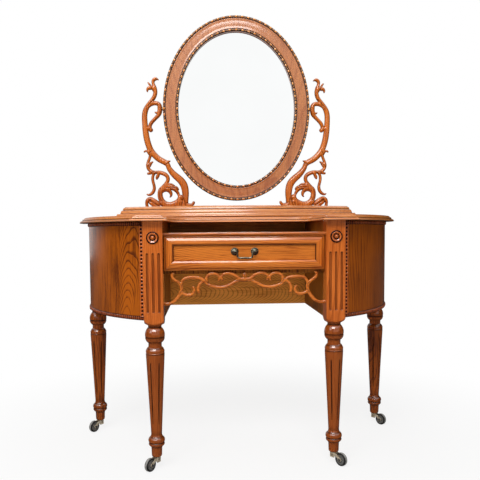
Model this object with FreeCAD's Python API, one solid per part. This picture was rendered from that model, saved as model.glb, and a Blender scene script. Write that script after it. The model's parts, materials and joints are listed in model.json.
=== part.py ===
import FreeCAD, Part
import os
from math import cos, radians, sin, sqrt

V = FreeCAD.Vector

# A kneehole dressing table with two rounded end cabinets, one drawer, a scroll apron, four turned legs on
# swivel casters, and an oval mirror that tilts between two carved supports on a bowed plinth.
# Frame: +X right, +Y back, +Z up, origin on the floor under the middle of the top. Millimetres.

# ---- heights ----
caster_height = 38          # floor to the foot of a leg
leg_turned_length = 396     # foot to the neck under the shoulder
shoulder_height = 19        # neck to the underside of the case
case_height = 295           # underside of the case to the underside of the top
top_thickness = 18
plinth_base_height = 16
plinth_cap_height = 25

# ---- table top, in plan ----
table_width = 1118
table_depth = 477
end_overhang = 31           # top beyond the curved ends
back_overhang = 14.5        # top beyond the back of the case
block_overhang = 23.5       # forward blocks beyond the posts
block_side_overhang = 36.5  # forward blocks beyond the outer sides of the posts
block_inner_overhang = 14   # forward blocks beyond the inner sides of the posts
recess_depth = 285          # middle edge behind the front of the blocks
recess_radius = 50          # concave corner from block to middle edge
top_edge_spread = 20        # bottom of the moulded edge beyond the upper surface

# ---- legs and posts ----
post_size = 58
post_spacing = 542          # between the axes of the two front legs
back_leg_edge = 22          # back leg's axis inside the widest part of the case
back_leg_inset = 30         # back leg's axis in front of the back of the case
back_pad_radius = 28
foot_radius = 15.5
taper_bottom = 71           # above the foot
taper_top = 82              # below the neck
ankle_radius = 16.3         # bottom of the taper
knee_radius = 28            # top of the taper
ring_radius = 25            # rings above the foot
neck_radius = 19.8
ball_radius = 29.5
leg_flutes = 6
leg_flute_radius = 3
leg_flute_depth = 2.2
leg_flute_bottom = 101      # above the foot
leg_flute_top = 104         # below the neck
post_flutes = 3
post_flute_pitch = 17
post_flute_radius = 3.6
post_flute_depth = 3
post_flute_bottom = 25      # above the underside of the case
post_flute_top = 93         # below the top
rosette_radius = 18.5
rosette_height = 8
rosette_drop = 48.5         # below the underside of the top

# ---- case ----
panel_setback = 26          # curved ends behind the fronts of the posts, where they meet
panel_thickness = 12
board_thickness = 14        # kneehole sides
back_thickness = 12
bottom_thickness = 12
kneehole_step = 3           # kneehole sides behind the inner faces of the posts
kneehole_back_inset = 18    # kneehole back in front of the cabinet backs' outer face
bead_strip_height = 12.5
bead_strip_proud = 4.5
post_strip_width = 13
joint_gap = 0.2             # glue line between curved boards
block_height = 40           # blocks over the back legs
block_reach = 50
block_depth = 56
bolt_radius = 4             # hanger bolts of the back legs
bolt_in_leg = 35
bolt_in_block = 30
cleat_size = 18
cleat_length = 300
screw_radius = 2
screw_head_radius = 4
screw_head_height = 3
screw_bite = 12             # screw inside the top
screws_per_cleat = 3

# ---- drawer opening ----
apron_height = 148          # underside of the case to the bottom of the drawer
drawer_height = 103.5
drawer_setback = 17         # drawer front behind the fronts of the posts
drawer_gap = 1.5            # each side
drawer_float = 0.3          # drawer above its rail and runners
rail_thickness = 10
rail_depth = 50
runner_thickness = 10
runner_width = 27
guide_height = 23
guide_gap = 0.7
kicker_gap = 0.5
board_gap = 0.5             # sunken board over the drawer front
board_depth = 9             # thickness of the sunken board
board_setback = 15          # its front edge behind the fronts of the posts

# ---- drawer ----
front_thickness = 15
stop_depth = 15             # behind the drawer
drawer_side_height = 86
drawer_side_thickness = 12
drawer_bottom_thickness = 5
drawer_bottom_lift = 8
groove_depth = 5
moulding_width = 29
moulding_flat = 9           # height of the flat above the panel
handle_spacing = 60
handle_rise = 4             # above the middle of the drawer
handle_axis_out = 11        # bail's axis in front of the panel
rosette_plate_radius = 11.8
rosette_plate_thickness = 3
handle_post_radius = 4.5
handle_bolt_radius = 2.5
nut_radius = 5.5
nut_thickness = 4
bail_wire_radius = 2.3
bail_width = 45             # between the middles of its two arms
bail_drop = 19.5
bail_corner = 8
bail_end_in_post = 8.5
bail_elbow = 2.6

# ---- apron ----
fret_thickness = 10
fret_setback = 29           # face of the apron behind the fronts of the posts
fret_drop = 2               # scrolls below the bottom of the drawer

# ---- plinth ----
cap_half_width = 420
cap_bow = 110               # front of the bow ahead of its ends
cap_edge_spread = 18
base_end_step = 18          # lower board beyond the upper one at the ends
base_front_step = 16
base_edge_spread = 8
plinth_back_inset = 5       # behind edge of the plinth to the back edge of the top
plinth_side = 35            # straight length of the plinth's ends

# ---- mirror ----
mirror_width = 525
mirror_height = 651
band_width = 55
frame_thickness = 22
lip_thickness = 12          # frame in front of the glass
rebate_width = 7
glass_thickness = 4
backboard_thickness = 5
mirror_fit = 1              # glass inside its rebate
mirror_floor_gap = 21       # mirror above the plinth
mirror_from_back = 35       # middle of the mirror in front of the back edge of the top
ring_width = 9
ring_height = 4
turn_button_radius = 9
turn_button_thickness = 2
turn_buttons = 6

# ---- mirror supports ----
support_thickness = 22
support_gap = 2             # support to mirror at the tilt bolts
scroll_drawn_pivot = 347    # pivot height that the scrolls below are drawn for
tilt_bolt_radius = 3
tilt_bolt_in_support = 12
tilt_bolt_in_frame = 20
bush_radius = 5
bush_flange_radius = 6.5
bush_flange = 1.6
dowel_radius = 4
dowel_length = 24
running_gap = 0.05          # radial clearance of turning parts
snug_gap = 0.02             # radial clearance of glued and driven parts

# ---- casters ----
wheel_radius = 20
wheel_width = 12
wheel_edge = 2.5
caster_trail = 30
caster_turn = 52            # degrees from straight outwards, towards the front
cheek_gap = 1
cheek_thickness = 2
axle_radius = 2.5
axle_head_radius = 4
axle_head = 1
boss_radius = 5.5
stem_radius = 4
stem_length = 26
socket_wall = 1.5
socket_flange_radius = 8
socket_flange = 1.2
fork_gap = 0.3              # fork under the socket
fork_plate = 2.5
cheek_depth = 15.5
cheek_back = 7              # cheeks behind the stem's axis
cheek_front = 9

# ---- places that follow ----
neck_z = caster_height + leg_turned_length
case_z = neck_z + shoulder_height
top_under_z = case_z + case_height
top_z = top_under_z + top_thickness
plinth_z = top_z + plinth_base_height
support_z = plinth_z + plinth_cap_height
front_y = -table_depth / 2
rear_y = table_depth / 2
case_back_y = rear_y - back_overhang
post_x = post_spacing / 2
post_front_y = front_y + block_overhang
leg_front_y = post_front_y + post_size / 2
post_back_y = post_front_y + post_size
post_inner_x = post_x - post_size / 2
post_outer_x = post_x + post_size / 2
# A curved end is square to the back of the case and runs to the side of its post, so its centre is on the
# back of the case, and both ends of the arc are one radius from it.
case_half = table_width / 2 - end_overhang
panel_reach_y = case_back_y - post_front_y - panel_setback
arc_centre_x = (case_half ** 2 - post_outer_x ** 2 - panel_reach_y ** 2) / (2 * (case_half - post_outer_x))
panel_outer_radius = case_half - arc_centre_x
panel_inner_radius = panel_outer_radius - panel_thickness
inside_radius = panel_inner_radius - joint_gap
leg_back_x = case_half - back_leg_edge
leg_back_y = case_back_y - back_leg_inset
kneehole_x = post_inner_x + kneehole_step
cabinet_x = kneehole_x + board_thickness
kneehole_back_y = case_back_y - kneehole_back_inset - back_thickness
drawer_z = case_z + apron_height
drawer_top_z = drawer_z + drawer_height
drawer_half = post_inner_x - drawer_gap
drawer_face_y = post_front_y + drawer_setback
panel_face_y = drawer_face_y + moulding_flat
drawer_box_y = panel_face_y + front_thickness
drawer_rear_y = kneehole_back_y - stop_depth
rail_z = drawer_z - drawer_float
rail_front_y = post_front_y + fret_setback + fret_thickness
handle_z = drawer_z + drawer_height / 2 + handle_rise
centre_board_z = drawer_top_z + board_gap
centre_board_top_z = centre_board_z + board_depth
handle_y = panel_face_y - handle_axis_out
mirror_y = rear_y - mirror_from_back
pivot_height = mirror_height / 2 + mirror_floor_gap
pivot_z = support_z + pivot_height
frame_front_y = mirror_y - frame_thickness / 2
frame_back_y = mirror_y + frame_thickness / 2
far = 2000                  # longer than the table, for cutting tools


def box(x0, x1, y0, y1, z0, z1):
    return Part.makeBox(x1 - x0, y1 - y0, z1 - z0, V(x0, y0, z0))


def rod(radius, start, end):
    axis = end - start
    return Part.makeCylinder(radius, axis.Length, start, axis)


def disc(radius, x, y, z0, z1):
    return rod(radius, V(x, y, z0), V(x, y, z1))


def mirrored(shape):
    return shape.mirror(V(0, 0, 0), V(1, 0, 0))


def pair(shape):
    return Part.makeCompound([mirrored(shape), shape])


def polygon_face(points):
    return Part.Face(Part.makePolygon(points + points[:1]))


def turned(profile):
    """Solid of revolution about Z. The profile lists (z, radius) corners; a corner with two more numbers
    is the end of an arc that passes through (z, radius) first."""
    first, last = profile[0], profile[-1]
    here = V(first[1], 0, first[0])
    edges = [Part.makeLine(V(0, 0, first[0]), here)]
    for step in profile[1:]:
        there = V(step[-1], 0, step[-2])
        if len(step) == 4:
            edges.append(Part.Arc(here, V(step[1], 0, step[0]), there).toShape())
        else:
            edges.append(Part.makeLine(here, there))
        here = there
    edges.append(Part.makeLine(here, V(0, 0, last[-2])))
    edges.append(Part.makeLine(V(0, 0, last[-2]), V(0, 0, first[0])))
    return Part.Face(Part.Wire(edges)).revolve(V(0, 0, 0), V(0, 0, 1), 360)


def capsule(radius, start, end):
    """Round-ended groove cutter."""
    body = rod(radius, start, end)
    return body.fuse([Part.makeSphere(radius, start), Part.makeSphere(radius, end)])


# ---- legs ----

def leg_profile():
    """(z, radius) from the foot to the neck; the foot group keeps to the floor, the balls to the neck."""
    foot, neck = caster_height, neck_z
    return [
        (foot, foot_radius - 4), (foot + 1.4, foot_radius - 1.3, foot + 5, foot_radius),
        (foot + 27, ankle_radius), (foot + 31, ankle_radius + 1.8, foot + 35, ring_radius - 3),
        (foot + 39, ring_radius - 1, foot + 43, ring_radius - 1.8), (foot + 44, ring_radius - 3.2),
        (foot + 45, ring_radius - 1.6), (foot + 51, ring_radius, foot + 58, ring_radius - 2.2),
        (foot + 63, ankle_radius + 2, foot + taper_bottom, ankle_radius), (neck - taper_top, knee_radius),
        (neck - 81, knee_radius - 1), (neck - 79.5, knee_radius, neck - 78, knee_radius - 1),
        (neck - 67, knee_radius - 2.2, neck - 60, neck_radius), (neck - 48, neck_radius),
        (neck - 42, ball_radius - 3.5, neck - 31, ball_radius - 0.4), (neck - 30, ball_radius - 1.6),
        (neck - 29, ball_radius - 0.4), (neck - 14, ball_radius - 1.5, neck - 1, neck_radius),
        (neck, neck_radius)]


def leg_flute_cutter(turn):
    """Groove along the taper, its axis just off the surface."""
    z_low, z_high = caster_height + leg_flute_bottom, neck_z - leg_flute_top
    taper_low, taper_high = caster_height + taper_bottom, neck_z - taper_top
    ends = []
    for z in (z_low, z_high):
        share = (z - taper_low) / (taper_high - taper_low)
        reach = ankle_radius + share * (knee_radius - ankle_radius) + leg_flute_radius - leg_flute_depth
        ends.append(V(reach * cos(radians(turn)), reach * sin(radians(turn)), z))
    return capsule(leg_flute_radius, *ends)


def turned_leg(top_profile):
    """Leg about the Z axis, bored in the foot for the caster's socket."""
    leg = turned(leg_profile() + top_profile)
    turns = [360 * n / leg_flutes for n in range(leg_flutes)]
    leg = leg.cut([leg_flute_cutter(turn) for turn in turns])
    return leg.cut(disc(stem_radius + running_gap + socket_wall + snug_gap, 0, 0, caster_height - 1,
                        caster_height + stem_length + socket_wall))


def front_leg():
    """Post and turned leg in one piece; its shoulder is a square block turned round at the bottom."""
    corner = post_size / sqrt(2) + 1
    half = post_size / 2
    shoulder = turned([(neck_z, neck_radius), (neck_z + 5, neck_radius + 0.4),
                       (neck_z + 10, half, neck_z + 24, corner), (top_under_z, corner)])
    post = shoulder.common(box(-half, half, -half, half, neck_z, top_under_z))
    groove_y = -half + post_flute_depth - post_flute_radius
    groove_low = case_z + post_flute_bottom + post_flute_radius
    groove_high = top_under_z - post_flute_top - post_flute_radius
    for n in range(post_flutes):
        x = (n - (post_flutes - 1) / 2) * post_flute_pitch
        post = post.cut(capsule(post_flute_radius, V(x, groove_y, groove_low), V(x, groove_y, groove_high)))
    leg = turned_leg([]).fuse(post).removeSplitter()
    return leg.translated(V(post_x, leg_front_y, 0))


def back_leg():
    pad = [(neck_z + 6, neck_radius + 0.5), (neck_z + 7, back_pad_radius - 2, neck_z + 9.5, back_pad_radius),
           (case_z, back_pad_radius)]
    leg = turned_leg(pad).cut(disc(bolt_radius + snug_gap, 0, 0, case_z - bolt_in_leg, case_z + 1))
    return leg.translated(V(leg_back_x, leg_back_y, 0))


def hanger_bolt():
    return disc(bolt_radius, leg_back_x, leg_back_y, case_z - bolt_in_leg,
                case_z + bottom_thickness + bolt_in_block)


def rosette():
    rim = rosette_radius
    shape = turned([(0, rim), (1.5, rim), (3.5, rim - 1, 4, rim - 3), (2.5, rim - 4.5), (2.5, rim - 6),
                    (4.5, rim - 7.2, 5.5, rim - 9), (4, rim - 11), (rosette_height - 1, rim - 14.5,
                                                                 rosette_height, 1)])
    shape.rotate(V(0, 0, 0), V(1, 0, 0), 90)
    return shape.translated(V(post_x, post_front_y, top_under_z - rosette_drop))


# ---- table top and plinth ----

def top_face(inset):
    """Right half of the top's outline, moved in by the inset, a little too deep at the back."""
    end_radius = table_width / 2 - arc_centre_x - inset
    side_x = post_outer_x + block_side_overhang - inset
    side_y = case_back_y - sqrt(end_radius ** 2 - (side_x - arc_centre_x) ** 2)
    block_y = front_y + inset
    inner_x = post_inner_x - block_inner_overhang + inset
    middle_y = front_y + recess_depth + inset
    radius = recess_radius + inset
    centre = V(inner_x - radius, middle_y - radius, 0)
    end_mid = (side_x - arc_centre_x + end_radius) / 2
    mid_y = case_back_y - sqrt(end_radius ** 2 - end_mid ** 2)
    bend = radius * cos(radians(45))
    back_y = rear_y + 10
    corners = [V(0, back_y, 0), V(0, middle_y, 0), V(centre.x, middle_y, 0), V(inner_x, centre.y, 0),
               V(inner_x, block_y, 0), V(side_x, block_y, 0), V(side_x, side_y, 0),
               V(arc_centre_x + end_radius, case_back_y, 0), V(arc_centre_x + end_radius, back_y, 0)]
    mids = {2: V(centre.x + bend, centre.y + bend, 0), 6: V(arc_centre_x + end_mid, mid_y, 0)}
    edges = []
    for n, start in enumerate(corners):
        end = corners[(n + 1) % len(corners)]
        if n in mids:
            edges.append(Part.Arc(start, mids[n], end).toShape())
        else:
            edges.append(Part.makeLine(start, end))
    return Part.Face(Part.Wire(edges))


# Stations of a moulded edge: (share of the thickness from the top, share of the spread left to go).
edge_stations = [(0, 1), (0.28, 0.55), (0.34, 0.5), (0.56, 0.32), (0.78, 0.08), (0.9, 0), (1, 0)]


def moulded(face_at, spread, z0, z1):
    """Board between two heights whose edge spreads downwards through the stations."""
    wires = [face_at(share * spread).OuterWire.translated(V(0, 0, z1 - down * (z1 - z0)))
             for down, share in edge_stations]
    half = Part.makeLoft(wires, True, True)
    return half.fuse(mirrored(half)).removeSplitter()


def table_top():
    top = moulded(top_face, top_edge_spread, top_under_z, top_z)
    top = top.common(box(-far, far, -far, rear_y, 0, far))
    return top.cut([disc(screw_radius + snug_gap, side * x, y, z0, z1)
                    for side in (-1, 1) for x, y, z0, z1 in screw_places()])


def bow_face(half_width, front, inset):
    """Right half of a bow-fronted board; front is the middle of the bow."""
    back = rear_y - plinth_back_inset
    side_y = back - plinth_side
    rise = side_y - front
    radius = (half_width ** 2 + rise ** 2) / (2 * rise)
    centre_y = front + radius
    end_x, apex = half_width - inset, front + inset
    end_y = centre_y - sqrt((radius - inset) ** 2 - end_x ** 2)
    mid_x = end_x / 2
    mid = V(mid_x, centre_y - sqrt((radius - inset) ** 2 - mid_x ** 2), 0)
    corners = [V(0, apex, 0), V(end_x, end_y, 0), V(end_x, back, 0), V(0, back, 0)]
    edges = [Part.Arc(corners[0], mid, corners[1]).toShape()]
    edges += [Part.makeLine(corners[n], corners[(n + 1) % 4]) for n in (1, 2, 3)]
    return Part.Face(Part.Wire(edges))


def cap_front():
    return rear_y - plinth_back_inset - plinth_side - cap_bow


def plinth_cap():
    board = moulded(lambda inset: bow_face(cap_half_width, cap_front(), inset), cap_edge_spread, plinth_z,
                    support_z)
    low = support_z - dowel_length / 2
    return board.cut([disc(dowel_radius + snug_gap, side * x, mirror_y, low, support_z)
                      for side in (-1, 1) for x in dowel_places()])


def plinth_base():
    half_width, front = cap_half_width + base_end_step, cap_front() - base_front_step
    return moulded(lambda inset: bow_face(half_width, front, inset), base_edge_spread, top_z, plinth_z)


# ---- case ----

def curved_wall(inner, outer, z0, z1):
    """Right-hand quarter wall from the post to the back of the case."""
    ring = disc(outer, arc_centre_x, case_back_y, z0, z1).cut(
        disc(inner, arc_centre_x, case_back_y, z0 - 1, z1 + 1))
    return ring.common(box(post_outer_x, far, -far, case_back_y, z0, z1))


def inside_curve(x0, y0, y1, z0, z1):
    """Board that fills the cabinet from x0 out to the curved end."""
    return disc(inside_radius, arc_centre_x, case_back_y, z0, z1).common(box(x0, far, y0, y1, z0, z1))


def side_panel():
    return curved_wall(panel_inner_radius, panel_outer_radius, case_z, top_under_z)


def bottom_strip():
    return curved_wall(panel_outer_radius, panel_outer_radius + bead_strip_proud, case_z,
                       case_z + bead_strip_height)


def top_strip():
    return curved_wall(panel_outer_radius, panel_outer_radius + bead_strip_proud,
                       top_under_z - bead_strip_height, top_under_z)


def post_strip():
    """Upright strip in the corner between the post and the curved end."""
    z0, z1 = case_z + bead_strip_height, top_under_z - bead_strip_height
    outer = panel_outer_radius + bead_strip_proud
    front = case_back_y - sqrt(outer ** 2 - (post_outer_x - arc_centre_x) ** 2)
    strip = box(post_outer_x, post_outer_x + post_strip_width, front, post_back_y, z0, z1)
    return strip.cut(disc(panel_outer_radius, arc_centre_x, case_back_y, z0, z1))


def kneehole_side():
    return box(kneehole_x, cabinet_x, post_back_y, case_back_y, case_z, top_under_z)


def kneehole_back():
    return box(-kneehole_x, kneehole_x, kneehole_back_y, kneehole_back_y + back_thickness, case_z,
               top_under_z)


def cabinet_back():
    return inside_curve(cabinet_x, case_back_y - back_thickness, case_back_y, case_z, top_under_z)


def cabinet_bottom():
    z1 = case_z + bottom_thickness
    board = inside_curve(cabinet_x, -far, case_back_y - back_thickness, case_z, z1)
    return board.cut([box(0, post_outer_x, -far, post_back_y, case_z, z1),
                      disc(bolt_radius + snug_gap, leg_back_x, leg_back_y, case_z, z1)])


def leg_block():
    z0 = case_z + bottom_thickness
    block = inside_curve(leg_back_x - block_reach, case_back_y - back_thickness - block_depth,
                         case_back_y - back_thickness, z0, z0 + block_height)
    return block.cut(disc(bolt_radius + snug_gap, leg_back_x, leg_back_y, z0, z0 + bolt_in_block))


def cleat_middle_y():
    return (post_back_y + case_back_y - back_thickness) / 2


def screw_places():
    """(x, y, z0, z1) of each screw on the right-hand cleat, from its head to its point."""
    x = cabinet_x + cleat_size / 2
    step = cleat_length / screws_per_cleat
    first = cleat_middle_y() - step * (screws_per_cleat - 1) / 2
    return [(x, first + n * step, top_under_z - cleat_size, top_under_z + screw_bite)
            for n in range(screws_per_cleat)]


def top_cleat():
    middle = cleat_middle_y()
    cleat = box(cabinet_x, cabinet_x + cleat_size, middle - cleat_length / 2, middle + cleat_length / 2,
                top_under_z - cleat_size, top_under_z)
    return cleat.cut([disc(screw_radius + snug_gap, x, y, z0, z1) for x, y, z0, z1 in screw_places()])


def top_screws():
    screws = [disc(screw_radius, x, y, z0, z1).fuse(
        disc(screw_head_radius, x, y, z0 - screw_head_height, z0)).removeSplitter()
        for x, y, z0, z1 in screw_places()]
    return screws + [mirrored(screw) for screw in screws]


# ---- drawer opening ----

def drawer_rail():
    return box(-post_inner_x, post_inner_x, rail_front_y, rail_front_y + rail_depth, rail_z - rail_thickness,
               rail_z)


def runner_start_y():
    return max(rail_front_y + rail_depth, post_back_y)


def drawer_runner():
    """Runner with its guide at the side and its stop at the back."""
    y0, y1 = runner_start_y(), kneehole_back_y
    inner_x, guide_top = kneehole_x - runner_width, rail_z + guide_height
    base = box(inner_x, kneehole_x, y0, y1, rail_z - runner_thickness, rail_z)
    guide = box(drawer_half + guide_gap, kneehole_x, y0, y1, rail_z, guide_top)
    stop = box(inner_x, kneehole_x, drawer_rear_y + drawer_float, y1, rail_z, guide_top)
    return base.fuse([guide, stop]).removeSplitter()


def drawer_kicker():
    return box(kneehole_x - runner_width, kneehole_x, runner_start_y(), kneehole_back_y,
               drawer_z + drawer_side_height + kicker_gap, centre_board_z)


def centre_board():
    """Sunken board over the drawer, between the posts and the kneehole sides, its front edge round."""
    nose = board_depth / 2
    nose_y = post_front_y + board_setback + nose
    front = box(-post_inner_x, post_inner_x, nose_y, post_back_y, centre_board_z, centre_board_top_z)
    rear = box(-kneehole_x, kneehole_x, post_back_y, kneehole_back_y, centre_board_z, centre_board_top_z)
    edge = rod(nose, V(-post_inner_x, nose_y, centre_board_z + nose),
               V(post_inner_x, nose_y, centre_board_z + nose))
    return front.fuse([rear, edge]).removeSplitter()


# ---- drawer ----

def drawer_front():
    board = box(-drawer_half, drawer_half, panel_face_y, drawer_box_y, drawer_z, drawer_top_z)
    holes = [rod(handle_bolt_radius + snug_gap, V(side * handle_spacing / 2, panel_face_y, handle_z),
                 V(side * handle_spacing / 2, drawer_box_y, handle_z)) for side in (-1, 1)]
    return board.cut([drawer_bottom_board()] + holes)


def mitred_bar(length):
    """Length of moulding centred on X, its outer edge on z = 0, its back on y = 0, mitred at both ends."""
    flat, width = moulding_flat, moulding_width
    outline = [V(0, 0, 0), V(0, -3.2, 0), V(0, -3.2, -4.5), V(0, -1.6, -4.5), V(0, -1.6, -7)]
    edges = [Part.makeLine(outline[n], outline[n + 1]) for n in range(len(outline) - 1)]
    bevel_end, flat_end = V(0, -flat, -14), V(0, -flat, -width + 2.5)
    edges.append(Part.Arc(outline[-1], V(0, -flat + 2.6, -9.8), bevel_end).toShape())
    edges.append(Part.makeLine(bevel_end, flat_end))
    inner = V(0, -flat / 2, -width)
    edges.append(Part.Arc(flat_end, V(0, -flat + 1.4, -width + 0.8), inner).toShape())
    edges.append(Part.makeLine(inner, V(0, 0, -width)))
    edges.append(Part.makeLine(V(0, 0, -width), V(0, 0, 0)))
    bar = Part.Face(Part.Wire(edges)).translated(V(-length / 2, 0, 0)).extrude(V(length, 0, 0))
    mitre = polygon_face([V(-length / 2, -far, 0), V(length / 2, -far, 0),
                          V(length / 2 - width, -far, -width), V(-length / 2 + width, -far, -width)])
    return bar.common(mitre.extrude(V(0, 2 * far, 0)))


def placed_bar(length, distance, turn):
    bar = mitred_bar(length).translated(V(0, 0, distance))
    bar.rotate(V(0, 0, 0), V(0, 1, 0), turn)
    return bar.translated(V(0, panel_face_y, drawer_z + drawer_height / 2))


def drawer_side():
    side = box(drawer_half - drawer_side_thickness, drawer_half, drawer_box_y, drawer_rear_y, drawer_z,
               drawer_z + drawer_side_height)
    return side.cut(drawer_bottom_board())


def drawer_back():
    inner = drawer_half - drawer_side_thickness
    return box(-inner, inner, drawer_rear_y - drawer_side_thickness, drawer_rear_y,
               drawer_z + drawer_bottom_lift + drawer_bottom_thickness, drawer_z + drawer_side_height)


def drawer_bottom_board():
    half = drawer_half - drawer_side_thickness + groove_depth
    z0 = drawer_z + drawer_bottom_lift
    return box(-half, half, drawer_box_y - groove_depth, drawer_rear_y, z0, z0 + drawer_bottom_thickness)


def handle_post():
    """Rosette plate, post with the bail's eye, and bolt, in one casting."""
    x = handle_spacing / 2
    plate = turned([(0, rosette_plate_radius), (1, rosette_plate_radius),
                    (rosette_plate_thickness - 0.6, rosette_plate_radius - 3.5,
                     rosette_plate_thickness, handle_post_radius)])
    plate.rotate(V(0, 0, 0), V(1, 0, 0), 90)
    plate = plate.translated(V(x, panel_face_y, handle_z))
    tip_y = handle_y - handle_post_radius / 2
    post = rod(handle_post_radius, V(x, panel_face_y, handle_z), V(x, tip_y, handle_z))
    knob = Part.makeSphere(handle_post_radius + 0.3, V(x, tip_y, handle_z))
    bolt = rod(handle_bolt_radius, V(x, panel_face_y, handle_z),
               V(x, drawer_box_y + nut_thickness + 2, handle_z))
    eye = rod(bail_wire_radius + running_gap, V(x - far, handle_y, handle_z),
              V(bail_width / 2 + bail_end_in_post + 1, handle_y, handle_z))
    return plate.fuse([post, knob, bolt]).cut(eye).removeSplitter()


def handle_nut():
    x = handle_spacing / 2
    turns = [radians(60 * n) for n in range(6)]
    corners = [V(x + nut_radius * cos(turn), drawer_box_y, handle_z + nut_radius * sin(turn))
               for turn in turns]
    nut = polygon_face(corners).extrude(V(0, nut_thickness, 0))
    return nut.cut(rod(handle_bolt_radius + snug_gap, V(x, drawer_box_y, handle_z),
                       V(x, drawer_box_y + nut_thickness, handle_z)))


def bail():
    """Round wire: an end in each post, two arms and a straight grip, all bends as arcs."""
    arm, elbow, corner = bail_width / 2, bail_elbow, bail_corner
    low = -bail_drop

    def bend(centre, radius, middle):
        return V(centre.x + radius * cos(radians(middle)), 0, centre.z + radius * sin(radians(middle)))

    elbow_centre, corner_centre = V(arm + elbow, 0, -elbow), V(arm - corner, 0, low + corner)
    right = [(V(arm + bail_end_in_post, 0, 0), V(arm + elbow, 0, 0), None),
             (V(arm + elbow, 0, 0), V(arm, 0, -elbow), bend(elbow_centre, elbow, 135)),
             (V(arm, 0, -elbow), V(arm, 0, low + corner), None),
             (V(arm, 0, low + corner), V(arm - corner, 0, low), bend(corner_centre, corner, -45))]

    def flip(point):
        return V(-point.x, 0, point.z)

    left = [(flip(end), flip(start), middle and flip(middle)) for start, end, middle in reversed(right)]
    path = right + [(V(arm - corner, 0, low), V(corner - arm, 0, low), None)] + left
    edges = [Part.Arc(start, middle, end).toShape() if middle else Part.makeLine(start, end)
             for start, end, middle in path]
    section = Part.Wire(Part.makeCircle(bail_wire_radius, path[0][0], V(1, 0, 0)))
    wire = Part.Wire(edges).makePipeShell([section], True, False)
    return wire.translated(V(0, handle_y, handle_z))


# ---- scrolls ----

def ribbon(points, thickness):
    """Flat band along the points (x, z, width), with smooth sides and round ends, from y = 0 back."""
    centre = Part.BSplineCurve()
    centre.interpolate([V(x, 0, z) for x, z, width in points])
    sides = ([], [])
    tips = []
    for x, z, width in points:
        place = V(x, 0, z)
        along = centre.tangent(centre.parameter(place))[0]
        across = V(along.z, 0, -along.x) * (width / 2)
        sides[0].append(place + across)
        sides[1].append(place - across)
        tips.append(along * (width / 2))
    curves = []
    for side in sides:
        curve = Part.BSplineCurve()
        curve.interpolate(side)
        curves.append(curve.toShape())
    start, end = V(points[0][0], 0, points[0][1]), V(points[-1][0], 0, points[-1][1])
    cap_start = Part.Arc(sides[1][0], start - tips[0], sides[0][0]).toShape()
    cap_end = Part.Arc(sides[0][-1], end + tips[-1], sides[1][-1]).toShape()
    outline = Part.Wire(Part.__sortEdges__([curves[0], cap_end, curves[1], cap_start]))
    return Part.Face(outline).extrude(V(0, thickness, 0))


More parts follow.
